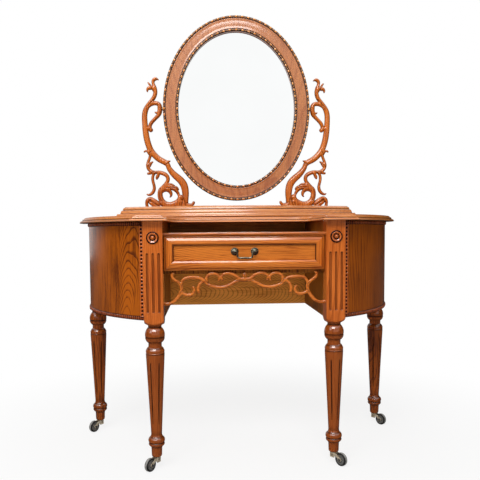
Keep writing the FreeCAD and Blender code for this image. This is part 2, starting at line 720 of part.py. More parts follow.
# Each stroke lists (outwards from the mirror's edge, up from the plinth, width).
support_strokes = {
    "stem_top": [(14, 448, 3), (18, 450.5, 7), (23, 452, 12), (29, 450, 13), (33, 444, 12), (33, 436, 11),
                 (30, 427, 13), (27, 417, 14.5), (26, 407, 15), (28, 395, 15), (34, 383, 15), (44, 371, 15),
                 (53, 358, 17), (61, 343, 19), (65, 325, 19.5), (65, 301, 20), (62.5, 267, 21.5),
                 (59, 243, 22), (53, 220, 22), (44, 199, 22), (31, 183, 21.5), (15, 169, 21), (-2, 160, 20),
                 (-13, 151, 18), (-17, 140, 17)],
    "stem_foot": [(-13, 149, 14), (-18, 139, 17.5), (-26, 127, 20), (-41, 111, 23.5), (-58, 96, 25.5),
                  (-70, 79, 26.5), (-75, 60, 25.5), (-76, 42, 24), (-75, 24, 22.5), (-75, 10, 22),
                  (-76, -4, 23)],
    "knuckle": [(-2, 157, 13), (-12, 160, 12), (-22, 163, 5)],
    "pivot_scroll": [(52, 354, 11), (46, 360, 13), (39, 364, 13.5), (29, 367, 15), (19, 366, 15.5),
                     (12, 360, 15), (9.5, 351, 15), (9.5, 343, 14.5), (12, 332, 15), (21, 320, 14),
                     (34, 307, 13), (43, 296, 13.5), (47, 285, 13), (44, 273, 16)],
    "pivot_curl": [(16, 358, 7), (15, 349, 9), (16, 341, 8), (19, 335.5, 7.5), (24, 333, 6.5), (28, 336, 4)],
    "top_leaf": [(34, 412, 8), (40, 417, 10), (46, 420, 14), (51, 418, 12), (54, 412, 8), (53.5, 407, 4)],
    "top_twig": [(35, 418, 8), (42, 427, 8), (47, 434, 7), (51, 439, 4.5)],
    "s_scroll": [(47, 190, 11), (50, 174, 10.5), (55, 161, 11), (57.5, 148, 12), (53, 134, 12.5),
                 (44, 126.5, 12.5), (33, 123, 12.5), (20, 123.5, 13), (8, 121, 14.5), (-4, 116, 14.5),
                 (-12, 108, 14), (-14, 97, 13.5), (-8, 84, 14), (3, 71, 15), (12, 61, 17), (15, 47, 18.5),
                 (12.5, 30, 19.5), (5, 17, 20.5), (-6, 9, 22), (-23, 7.5, 20.5), (-37, 12, 20),
                 (-49, 20, 18.5), (-57, 35, 18)],
    "outer_twig": [(49, 187, 9), (55, 194, 8), (61, 199, 7.5), (68, 196, 6)],
    "inner_leaf": [(56, 142, 10), (50, 149, 12), (45, 156, 9.5), (39, 160, 5)],
    "left_leaf": [(36, 125, 8), (47, 120.5, 10), (56, 119, 9)],
    "right_leaf": [(16, 122, 10), (20, 114, 11.5), (24, 106, 12), (25.5, 101, 8)],
    "tendril": [(25, 124, 9.5), (34, 120, 10.5), (39, 111, 10.5), (40.5, 98, 10.5), (37.5, 83, 10.5),
                (35, 68, 11.5), (38.5, 55, 12), (47, 46, 11), (55, 43, 8), (61, 45, 5)],
    "volute": [(12, 50, 13), (6, 57, 14), (-3, 61, 15), (-13, 60, 14.5), (-21, 54, 13.5), (-24.5, 46, 11),
               (-24, 39.5, 8), (-20.5, 35, 4)],
    "upper_lobe": [(-8, 77, 12), (-22, 79, 12), (-32, 76, 10), (-38, 72, 6)],
    "middle_lobe": [(-10, 71, 14), (-30, 70, 14), (-42, 68.5, 12), (-50, 62, 7)],
    "lower_lobe": [(-22, 67, 12), (-38, 62, 14), (-46, 54, 12), (-51, 44, 10), (-52.5, 33, 7)],
    "foot_loop": [(4, 6, 10.5), (19, 13, 11.5), (32, 21.5, 12), (43, 28, 12), (55, 29, 12), (62, 21, 12),
                  (63, 9, 11.5), (61, -4, 11.5)],
    "foot_leaf": [(54, 19, 11), (46, 14, 17), (36, 8, 18), (24, 0, 18)],
    "foot_lobe": [(-80, 8, 16), (-92, 6, 12.5), (-101, 9, 11), (-105, 15, 10)],
    "foot_web": [(-46, 6, 16), (-58, 11, 26), (-68, 11, 26)],
}

# Each stroke lists (out from the middle, down from the drawer, width).
fret_strokes = {
    "end_scroll": [(246, 94.5, 10.5), (218, 94, 10.5), (206, 84, 11.5), (194, 67, 11.5), (191, 45, 11),
                   (200, 32.5, 10.5), (215, 21, 10.5), (218, 11, 9.5), (213, 6, 7)],
    "long_branch": [(190, 38, 8), (182, 24, 10.5), (158, 19, 11), (131, 23, 11), (115, 33, 11.5)],
    "end_curl": [(192, 60, 9.5), (176, 71, 11), (160, 70, 11), (152, 60, 9.5), (156, 48, 7)],
    "branch_tail": [(118, 31, 9.5), (130, 34, 9.5), (139, 46, 10.5), (138, 64, 9.5)],
    "outer_arch": [(114, 33, 10.5), (113, 17, 10.5), (104, 9.5, 10.5), (90, 8, 10.5), (80, 13, 10),
                   (76, 21, 9.5), (78, 29, 7)],
    "middle_swag": [(118, 32, 11.5), (106, 43, 11), (89, 48, 11), (65, 49, 11), (41, 40, 11), (20, 29, 11),
                    (-5, 26, 11)],
    "inner_arch": [(67, 27, 7), (68, 14, 9.5), (57, 8, 10.5), (43, 8, 10.5), (28, 15, 10.5), (14, 25, 10.5),
                   (-4, 27, 10.5)],
}
fret_leaf = [(0, 1.5), (8, 14), (0, 27), (-8, 14)]


def mirror_support():
    """Right-hand support, its foot on the plinth, bored for its dowels and its tilt bolt."""
    stretch = pivot_height / scroll_drawn_pivot
    edge_x = mirror_width / 2
    bands = [ribbon([(edge_x + out, up * stretch, width) for out, up, width in stroke], support_thickness)
             for stroke in support_strokes.values()]
    shape = bands[0].fuse(bands[1:]).removeSplitter()
    shape = shape.translated(V(0, mirror_y - support_thickness / 2, support_z))
    shape = shape.common(box(0, far, -far, far, support_z, support_z + far))
    holes = [disc(dowel_radius + snug_gap, x, mirror_y, support_z, support_z + dowel_length / 2)
             for x in dowel_places()]
    return shape.cut(holes + [rod(tilt_bolt_radius + snug_gap, V(0, mirror_y, pivot_z),
                                  V(edge_x + support_gap + tilt_bolt_in_support, mirror_y, pivot_z))])


def dowel_places():
    """Where the stem and the volute of a support stand on the plinth."""
    stem, volute = support_strokes["stem_foot"][-2], support_strokes["s_scroll"][-5]
    return [mirror_width / 2 + stem[0], mirror_width / 2 + volute[0]]


def support_dowels():
    dowels = [disc(dowel_radius, x, mirror_y, support_z - dowel_length / 2, support_z + dowel_length / 2)
              for x in dowel_places()]
    return dowels + [mirrored(dowel) for dowel in dowels]


def apron():
    """Pierced scroll apron between the posts, hung from the drawer rail."""
    bands = [ribbon([(out, -down, width) for out, down, width in stroke], fret_thickness)
             for stroke in fret_strokes.values()]
    leaf = polygon_face([V(x, 0, -down) for x, down in fret_leaf]).extrude(V(0, fret_thickness, 0))
    half = bands[0].fuse(bands[1:])
    shape = half.fuse([mirrored(half), leaf]).removeSplitter()
    shape = shape.translated(V(0, rail_front_y - fret_thickness, drawer_z - fret_drop))
    return shape.common(box(-post_inner_x, post_inner_x, -far, far, case_z, rail_z))


# ---- mirror ----

def oval(half_width, half_height, y0, y1):
    ellipse = Part.Ellipse(V(0, y0, pivot_z + half_height), V(half_width, y0, pivot_z), V(0, y0, pivot_z))
    return Part.Face(Part.Wire(ellipse.toShape())).extrude(V(0, y1 - y0, 0))


def inset_oval(inset, y0, y1):
    """Oval this far inside the outer edge of the mirror."""
    return oval(mirror_width / 2 - inset, mirror_height / 2 - inset, y0, y1)


def bush_bore():
    return rod(bush_radius + snug_gap, V(mirror_width / 2 + 1, mirror_y, pivot_z),
               V(mirror_width / 2 - tilt_bolt_in_frame, mirror_y, pivot_z))


def mirror_frame():
    frame = inset_oval(0, frame_front_y, frame_back_y)
    frame = frame.cut(inset_oval(band_width, frame_front_y, frame_back_y))
    frame = frame.cut(inset_oval(band_width - rebate_width, frame_front_y + lip_thickness, frame_back_y))
    flats = [box(mirror_width / 2 - 0.2, far, -far, far, pivot_z - 60, pivot_z + 60)]
    return frame.cut([bush_bore(), mirrored(bush_bore())] + flats + [mirrored(flat) for flat in flats])


def bead_ring(inset):
    y0 = frame_front_y - ring_height
    return inset_oval(inset, y0, frame_front_y).cut(inset_oval(inset + ring_width, y0, frame_front_y))


def mirror_glass():
    y0 = frame_front_y + lip_thickness
    return inset_oval(band_width - rebate_width + mirror_fit, y0, y0 + glass_thickness)


def mirror_backboard():
    y0 = frame_front_y + lip_thickness + glass_thickness
    return inset_oval(band_width - rebate_width + mirror_fit, y0, y0 + backboard_thickness)


def button_places():
    """Points on the oval half-way across the rebate's edge."""
    reach = band_width - rebate_width
    half_width, half_height = mirror_width / 2 - reach, mirror_height / 2 - reach
    turns = [radians(360 * (n + 0.5) / turn_buttons) for n in range(turn_buttons)]
    return [V(half_width * sin(turn), frame_back_y, pivot_z + half_height * cos(turn)) for turn in turns]


def turn_button(place):
    """Round plate over the joint of backboard and frame, and the pad under it."""
    plate = rod(turn_button_radius, place, place + V(0, turn_button_thickness, 0))
    board_back = frame_front_y + lip_thickness + glass_thickness + backboard_thickness
    pad = rod(turn_button_radius / 2, V(place.x, board_back, place.z), place)
    inner = inset_oval(band_width - rebate_width + mirror_fit, board_back, frame_back_y)
    return plate.fuse(pad.common(inner)).removeSplitter()


def tilt_bolt():
    edge_x = mirror_width / 2
    return rod(tilt_bolt_radius, V(edge_x - tilt_bolt_in_frame + 2, mirror_y, pivot_z),
               V(edge_x + support_gap + tilt_bolt_in_support, mirror_y, pivot_z))


def tilt_bush():
    edge_x = mirror_width / 2 - 0.2
    seat = V(edge_x, mirror_y, pivot_z)
    sleeve = rod(bush_radius, V(edge_x - tilt_bolt_in_frame + 0.2, mirror_y, pivot_z), seat)
    flange = rod(bush_flange_radius, seat, V(edge_x + bush_flange, mirror_y, pivot_z))
    bore = rod(tilt_bolt_radius + running_gap, V(edge_x - tilt_bolt_in_frame + 1.8, mirror_y, pivot_z),
               V(edge_x + 2 * bush_flange, mirror_y, pivot_z))
    return sleeve.fuse(flange).cut(bore).removeSplitter()


# ---- casters ----
# Each piece is made about its stem, which stands on Z with the wheel trailing along +X.

def caster_places():
    """Name, leg axis and direction of trail of each caster."""
    return [("front_left", -post_x, leg_front_y, 180 + caster_turn),
            ("front_right", post_x, leg_front_y, -caster_turn),
            ("back_left", -leg_back_x, leg_back_y, 180 + caster_turn),
            ("back_right", leg_back_x, leg_back_y, -caster_turn)]


def caster_socket():
    outer = stem_radius + running_gap + socket_wall
    sleeve = disc(outer, 0, 0, caster_height, caster_height + stem_length + socket_wall)
    flange = disc(socket_flange_radius, 0, 0, caster_height - socket_flange, caster_height)
    bore = disc(stem_radius + running_gap, 0, 0, caster_height - socket_flange, caster_height + stem_length)
    return sleeve.fuse(flange).cut(bore).removeSplitter()


def fork_top_z():
    return caster_height - socket_flange - fork_gap


def cheek(y0):
    """Side plate: a housing under the stem and a curved arm down to the axle."""
    top, low = fork_top_z(), fork_top_z() - cheek_depth
    plate = box(-cheek_back, cheek_front, y0, y0 + cheek_thickness, low, top)
    hub = V(caster_trail, y0, wheel_radius)
    boss = rod(boss_radius, hub, hub + V(0, cheek_thickness, 0))
    upper, lower = V(cheek_front - 3, y0, top), V(cheek_front - 3, y0, low + 3)
    outer, inner = hub + V(boss_radius, 0, 0), hub - V(boss_radius, 0, 0)
    edges = [Part.Arc(upper, hub + V(-5, 0, 10), outer).toShape(), Part.makeLine(outer, inner),
             Part.Arc(inner, hub + V(-12, 0, 5.5), lower).toShape(), Part.makeLine(lower, upper)]
    arm = Part.Face(Part.Wire(edges)).extrude(V(0, cheek_thickness, 0))
    bore = rod(axle_radius + snug_gap, hub - V(0, far, 0), hub + V(0, far, 0))
    return plate.fuse([boss, arm]).cut(bore)


def caster_fork():
    inner = wheel_width / 2 + cheek_gap
    top = fork_top_z()
    plate = box(-cheek_back, cheek_front, -inner, inner, top - fork_plate, top)
    stem = disc(stem_radius, 0, 0, top - fork_plate, caster_height + stem_length - 1)
    return plate.fuse([stem, cheek(inner), cheek(-inner - cheek_thickness)]).removeSplitter()


def caster_axle():
    half = wheel_width / 2 + cheek_gap + cheek_thickness
    pin = rod(axle_radius, V(caster_trail, -half, wheel_radius), V(caster_trail, half, wheel_radius))
    heads = [rod(axle_head_radius, V(caster_trail, side * half, wheel_radius),
                 V(caster_trail, side * (half + axle_head), wheel_radius)) for side in (-1, 1)]
    return pin.fuse(heads).removeSplitter()


def caster_wheel():
    half, rim = wheel_width / 2, wheel_radius
    profile = [(-half - 0.4, 6), (-half + 0.8, 7.5), (-half + 0.8, rim - 5.5), (-half, rim - 4.5),
               (-half, rim - wheel_edge), (-half + 0.7, rim - 0.7, -half + wheel_edge, rim),
               (half - wheel_edge, rim), (half - 0.7, rim - 0.7, half, rim - wheel_edge),
               (half, rim - 4.5), (half - 0.8, rim - 5.5), (half - 0.8, 7.5), (half + 0.4, 6)]
    wheel = turned(profile)
    wheel.rotate(V(0, 0, 0), V(1, 0, 0), 90)
    wheel = wheel.translated(V(caster_trail, 0, wheel_radius))
    return wheel.cut(rod(axle_radius + running_gap, V(caster_trail, -far, wheel_radius),
                         V(caster_trail, far, wheel_radius)))


def placed(shape, x, y, turn):
    copy = shape.copy()
    copy.rotate(V(0, 0, 0), V(0, 0, 1), turn)
    return copy.translated(V(x, y, 0))


# ---- the nodes ----

def nodes():
    made = {
        "table_top": table_top(),
        "plinth_base": plinth_base(),
        "plinth_cap": plinth_cap(),
        "kneehole_back": kneehole_back(),
        "cabinet_backs": pair(cabinet_back()),
        "cabinet_bottoms": pair(cabinet_bottom()),
        "back_leg_blocks": pair(leg_block()),
        "hanger_bolts": pair(hanger_bolt()),
        "top_cleats": pair(top_cleat()),
        "top_screws": Part.makeCompound(top_screws()),
        "bottom_bead_strips": pair(bottom_strip()),
        "top_bead_strips": pair(top_strip()),
        "post_bead_strips": pair(post_strip()),
        "post_rosettes": pair(rosette()),
        "scroll_apron": apron(),
        "drawer_rail": drawer_rail(),
        "drawer_runners": pair(drawer_runner()),
        "drawer_kickers": pair(drawer_kicker()),
        "centre_board": centre_board(),
        "support_dowels": Part.makeCompound(support_dowels()),
        "tilt_bolts": pair(tilt_bolt()),
        "drawer_front": drawer_front(),
        "drawer_moulding_rails": Part.makeCompound(
            [placed_bar(2 * drawer_half, drawer_height / 2, turn) for turn in (0, 180)]),
        "drawer_moulding_stiles": Part.makeCompound(
            [placed_bar(drawer_height, drawer_half, turn) for turn in (90, 270)]),
        "drawer_sides": pair(drawer_side()),
        "drawer_back": drawer_back(),
        "drawer_bottom": drawer_bottom_board(),
        "handle_posts": pair(handle_post()),
        "handle_nuts": pair(handle_nut()),
        "handle_bail": bail(),
        "mirror_frame": mirror_frame(),
        "mirror_outer_beads": bead_ring(0),
        "mirror_inner_beads": bead_ring(band_width - ring_width),
        "mirror_glass": mirror_glass(),
        "mirror_backboard": mirror_backboard(),
        "mirror_turn_buttons": Part.makeCompound([turn_button(place) for place in button_places()]),
        "tilt_bushes": pair(tilt_bush()),
    }
    sided = {"front_leg": front_leg(), "back_leg": back_leg(), "side_panel": side_panel(),
             "kneehole_side": kneehole_side(), "mirror_support": mirror_support()}
    for name, shape in sided.items():
        made[name + "_right"] = shape
        made[name + "_left"] = mirrored(shape)
    sockets = []
    fork, axle, wheel = caster_fork(), caster_axle(), caster_wheel()
    for name, x, y, turn in caster_places():
        sockets.append(caster_socket().translated(V(x, y, 0)))
        made["caster_fork_" + name] = placed(fork, x, y, turn)
        made["caster_axle_" + name] = placed(axle, x, y, turn)
        made["caster_wheel_" + name] = placed(wheel, x, y, turn)
    made["caster_sockets"] = Part.makeCompound(sockets)
    return made


os.makedirs("parts", exist_ok=True)
for node, solid in nodes().items():
    solid.exportStep("parts/" + node + ".step")
    print(node, len(solid.Solids), "solid(s)", "valid" if solid.isValid() else "NOT VALID",
          round(solid.Volume), "mm3")
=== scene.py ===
import bpy, bmesh, json, math
import numpy as np
from mathutils import Matrix, Vector


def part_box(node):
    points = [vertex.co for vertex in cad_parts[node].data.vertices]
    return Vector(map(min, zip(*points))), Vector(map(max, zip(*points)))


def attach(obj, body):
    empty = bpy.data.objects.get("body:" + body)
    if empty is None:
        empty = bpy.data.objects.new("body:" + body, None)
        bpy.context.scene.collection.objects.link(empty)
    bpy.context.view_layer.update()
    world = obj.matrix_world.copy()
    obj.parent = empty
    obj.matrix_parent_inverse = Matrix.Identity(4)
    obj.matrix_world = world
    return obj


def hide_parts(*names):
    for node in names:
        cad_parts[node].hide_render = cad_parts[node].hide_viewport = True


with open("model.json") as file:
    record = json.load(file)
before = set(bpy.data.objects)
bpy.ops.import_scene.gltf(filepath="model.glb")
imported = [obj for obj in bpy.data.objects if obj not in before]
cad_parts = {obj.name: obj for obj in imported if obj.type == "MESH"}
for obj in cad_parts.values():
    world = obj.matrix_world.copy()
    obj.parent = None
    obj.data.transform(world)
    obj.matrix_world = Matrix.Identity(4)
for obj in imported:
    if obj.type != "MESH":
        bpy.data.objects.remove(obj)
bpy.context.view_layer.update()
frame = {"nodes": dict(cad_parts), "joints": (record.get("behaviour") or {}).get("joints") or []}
joints = {joint["name"]: joint for joint in frame["joints"]}
mm = 0.001
up = Vector((0, 0, 1))
print("frame loaded")


def makePiece(name, mesh, body, material, replaced=(), sharpAngle=32, merge=0.0):
    # mesh is (verts, faces, shade); shade is painted shade that darkens the creases in the material (on the
    # caster tyre it is a painted pale sheen instead), and may be None
    verts, faces, shade = mesh
    data = bpy.data.meshes.new(name)
    data.from_pydata([tuple(v) for v in verts], [], faces)
    if shade is not None:
        layer = data.attributes.new("shade", "FLOAT", "POINT")
        layer.data.foreach_set("value", np.array(shade, dtype=np.float32))
    work = bmesh.new()
    work.from_mesh(data)
    if merge:
        bmesh.ops.remove_doubles(work, verts=work.verts, dist=merge)
    bmesh.ops.recalc_face_normals(work, faces=work.faces)
    work.to_mesh(data)
    work.free()
    data.shade_smooth()
    data.set_sharp_from_angle(angle=math.radians(sharpAngle))
    data.materials.append(material)
    piece = bpy.data.objects.new(name, data)
    bpy.context.scene.collection.objects.link(piece)
    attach(piece, body)
    if replaced:
        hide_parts(*replaced)


def loft(rings, wrap=False):
    # quads between rings of the same number of points; wrap joins the last ring to the first
    count = len(rings[0])
    verts = [p for ring in rings for p in ring]
    faces = []
    for k in range(len(rings) if wrap else len(rings) - 1):
        a, b = k * count, (k + 1) % len(rings) * count
        for n in range(count):
            m = (n + 1) % count
            faces.append((a + n, a + m, b + m, b + n))
    if not wrap:
        last = (len(rings) - 1) * count
        faces.append(tuple(reversed(range(count))))
        faces.append(tuple(range(last, last + count)))
    return verts, faces


def joinMeshes(parts):
    # one (verts, faces, shade) out of several
    verts, faces, shade = [], [], []
    for partVerts, partFaces, partShade in parts:
        base = len(verts)
        verts += [tuple(v) for v in partVerts]
        faces += [tuple(base + n for n in face) for face in partFaces]
        shade += list(partShade)
    return verts, faces, shade


def mirrored(mesh):
    verts, faces, shade = mesh
    return [(-v[0], v[1], v[2]) for v in verts], faces, shade


def arcPoints(start, middle, end, count):
    # points after start, up to end, on the circle through the three (pairs of numbers)
    ax, ay, bx, by, cx, cy = *start, *middle, *end
    d = 2 * (ax * (by - cy) + bx * (cy - ay) + cx * (ay - by))
    if abs(d) < 1e-9:
        return [(ax + (cx - ax) * n / count, ay + (cy - ay) * n / count) for n in range(1, count + 1)]
    aa, bb, cc = ax * ax + ay * ay, bx * bx + by * by, cx * cx + cy * cy
    ux = (aa * (by - cy) + bb * (cy - ay) + cc * (ay - by)) / d
    uy = (aa * (cx - bx) + bb * (ax - cx) + cc * (bx - ax)) / d
    a0, a1, a2 = (math.atan2(p[1] - uy, p[0] - ux) for p in (start, middle, end))
    turn = (a2 - a0) % (2 * math.pi)
    if (a1 - a0) % (2 * math.pi) > turn:
        turn -= 2 * math.pi
    radius = math.hypot(ax - ux, ay - uy)
    return [(ux + radius * math.cos(a0 + turn * n / count), uy + radius * math.sin(a0 + turn * n / count))
            for n in range(1, count + 1)]


def profilePoints(corners, fineness):
    # a corner is a pair, or four numbers where an arc through the first pair ends at the second
    points = [tuple(corners[0][:2])]
    for corner in corners[1:]:
        if len(corner) == 4:
            middle, end = corner[:2], corner[2:]
            size = math.dist(points[-1], middle) + math.dist(middle, end)
            points += arcPoints(points[-1], middle, end, max(4, int(size / fineness)))
        else:
            points.append(tuple(corner))
    return points


def smoothStep(low, high, value):
    t = np.clip((np.asarray(value, float) - low) / (high - low), 0, 1)
    return t * t * (3 - 2 * t)


def darkLines(value, lines, core, share=0.0):
    # how dark a value is under lines of (place, half width, strength), each full dark in its core
    return np.max([strength * (1 - smoothStep(core + share * width, width, abs(value - place)))
                   for place, width, strength in lines], axis=0)


def lathe(profile, place, axis, count, wrap=False):
    # turns a profile of (along, radius) in mm about an axis through place
    axis = Vector(axis).normalized()
    side = axis.orthogonal().normalized()
    other = axis.cross(side)
    rings = []
    for along, radius in profile:
        ring = []
        for n in range(count):
            turn = 2 * math.pi * n / count
            ring.append(Vector(place) + axis * along * mm + side * radius * mm * math.cos(turn)
                        + other * radius * mm * math.sin(turn))
        rings.append(ring)
    return loft(rings, wrap)


class Wire:
    # a socket that can stand in a sum
    def __init__(self, recipe, socket):
        self.recipe, self.socket = recipe, socket

    def __add__(self, other):
        return self.recipe.calc("ADD", self, other)

    def __sub__(self, other):
        return self.recipe.calc("SUBTRACT", self, other)

    def __rsub__(self, other):
        return self.recipe.calc("SUBTRACT", other, self)

    def __mul__(self, other):
        return self.recipe.calc("MULTIPLY", self, other)

    def __truediv__(self, other):
        return self.recipe.calc("DIVIDE", self, other)

    def __rtruediv__(self, other):
        return self.recipe.calc("DIVIDE", other, self)

    def __pow__(self, other):
        return self.recipe.calc("POWER", self, other)

    def __rpow__(self, other):
        return self.recipe.calc("POWER", other, self)

    __radd__ = __add__
    __rmul__ = __mul__


class Recipe:
    # the nodes of a material, or of the world
    def __init__(self, owner):
        self.owner = owner
        owner.use_nodes = True
        self.tree = owner.node_tree
        self.tree.nodes.clear()

    def node(self, kind, settings=None, values=None, out=0):
        made = self.tree.nodes.new(kind)
        for key, value in (settings or {}).items():
            setattr(made, key, value)
        for key, value in (values or {}).items():
            if isinstance(value, Wire):
                self.tree.links.new(value.socket, made.inputs[key])
            else:
                made.inputs[key].default_value = value
        return Wire(self, made.outputs[out]) if made.outputs else None

    def calc(self, operation, a, b):
        return self.node("ShaderNodeMath", {"operation": operation}, {0: a, 1: b})

    def blend(self, factor, a, b):
        a, b = ((*c, 1) if isinstance(c, tuple) else c for c in (a, b))
        return self.node("ShaderNodeMix", {"data_type": "RGBA"}, {0: factor, 6: a, 7: b}, out=2)

    def step(self, value, low, high):
        return self.node("ShaderNodeMapRange", {"interpolation_type": "SMOOTHSTEP"},
                         {0: value, 1: low, 2: high, 3: 0.0, 4: 1.0})

    def noise(self, place, scale, detail=2.0, roughness=0.5):
        return self.node("ShaderNodeTexNoise", None,
                         {"Vector": place, "Scale": scale, "Detail": detail, "Roughness": roughness})

    def join(self, x, y, z):
        return self.node("ShaderNodeCombineXYZ", None, {0: x, 1: y, 2: z})

    def place(self, kind="Object"):
        return self.node("ShaderNodeTexCoord", out=kind)

    def axes(self, kind="Object"):
        place = self.place(kind)
        return [self.node("ShaderNodeSeparateXYZ", None, {0: place}, out=n) for n in range(3)]

    def paintedLight(self):
        # reads the shade attribute: painted shade in creases, or on the tyre a painted sheen
        return self.node("ShaderNodeAttribute", {"attribute_name": "shade"}, out="Fac")

    def relief(self, strength, distance, height):
        return self.node("ShaderNodeBump", None,
                         {"Strength": strength, "Distance": distance, "Height": height})

    def ray(self, kind):
        return self.node("ShaderNodeLightPath", out="Is " + kind + " Ray")

    def close(self, shader, end="ShaderNodeOutputMaterial"):
        self.node(end, None, {"Surface": shader})

    def finish(self, values):
        self.close(self.node("ShaderNodeBsdfPrincipled", None, values))
        return self.owner


def oak(name, look):
    # sawn oak under varnish: growth rings round a tilted pith, open pores, slow changes of tone
    r = Recipe(bpy.data.materials.new(name))
    x, y, z = r.axes()
    along, across, depth = {"x": (x, z, y), "y": (y, x, z), "z": (z, x, y)}[look["grain"]]
    seed, wander = look["seed"], look["wander"]
    drift = r.noise(r.join(along * 2.6 + seed, across * 9.0, depth * 9.0), 1.0) - 0.5
    sway = r.noise(r.join(along * 9.0 + seed, across * 30.0, depth * 30.0), 1.0) - 0.5
    u = across - look["pith"][0] + drift * wander + sway * (wander * 0.16)
    w = depth - look["pith"][1] + along * look["tilt"] + drift * (wander * 0.7)
    rings = ((u * u + w * w) ** 0.5) / look["ringPitch"]
    ring = r.calc("FRACT", rings, 0.0)
    early = (1 - r.step(ring, 0.0, 0.42)) * r.step(ring, 0.0, 0.06)
    poreGrain = r.noise(r.join(along * 36.0 + seed, across * 800.0, depth * 800.0), 1.0, 2.0, 0.6)
    pores = r.step(poreGrain, 0.54, 0.68) * (early * 0.75 + 0.25)
    streak = r.noise(r.join(along * 11.0 + seed, across * 240.0, depth * 240.0), 1.0, 3.0, 0.6)
    cloud = r.noise(r.join(along * 5.0 + seed, across * 12.0, depth * 12.0), 1.0, 3.0)
    tone = r.step(streak * 0.55 + cloud * 0.45 + early * 0.16 - 0.06, *look["contrast"])
    colour = r.blend(tone, look["pale"], look["deep"])
    colour = r.blend(early * look["figure"], colour, look["ringColour"])
    colour = r.blend(pores * look["poreStrength"], colour, look["poreColour"])
    if "dimBelow" in look:
        low = 1 - r.step(z, look["dimBelow"] - 0.02, look["dimBelow"])
        colour = r.blend(low * look["dimShare"], colour, look["dimColour"])
    # painted shade: the shade attribute blends a dark colour into creases, grooves and lower edges, and thins
    # the coat there
    paintedLight = r.paintedLight()
    colour = r.blend(paintedLight, colour, look["paintedShadeColour"])
    bump = r.relief(look["bump"], 0.0004, (1 - pores) * 0.6 + streak * 0.4)
    return r.finish({"Base Color": colour, "Roughness": pores * 0.2 + look["roughness"], "Normal": bump,
                     "Coat Weight": (1 - paintedLight * 0.8) * look["coat"],
                     "Coat Roughness": look["coatRoughness"], "Coat IOR": look["coatIor"],
                     "Specular IOR Level": look["specular"]})


def rgb(*screen):
    # red, green and blue from 0 to 255, as the linear values that nodes take
    return tuple(((c / 255 + 0.055) / 1.055) ** 2.4 if c > 10 else c / 255 / 12.92 for c in screen)


# paintedShadeColour is the dark colour of the painted shade in creases
varnish = {"wander": 0.05, "tilt": 0.05, "pith": (0.0, 0.12), "ringPitch": 0.0065, "figure": 0.5,
           "poreStrength": 0.75, "roughness": 0.42, "specular": 0.1, "contrast": (0.42, 0.60),
           "coat": 0.8, "coatRoughness": 0.12, "coatIor": 1.5, "bump": 0.22,
           "pale": rgb(206, 120, 52), "deep": rgb(158, 78, 24), "ringColour": rgb(120, 56, 16),
           "poreColour": rgb(82, 34, 10), "paintedShadeColour": rgb(34, 9, 5)}
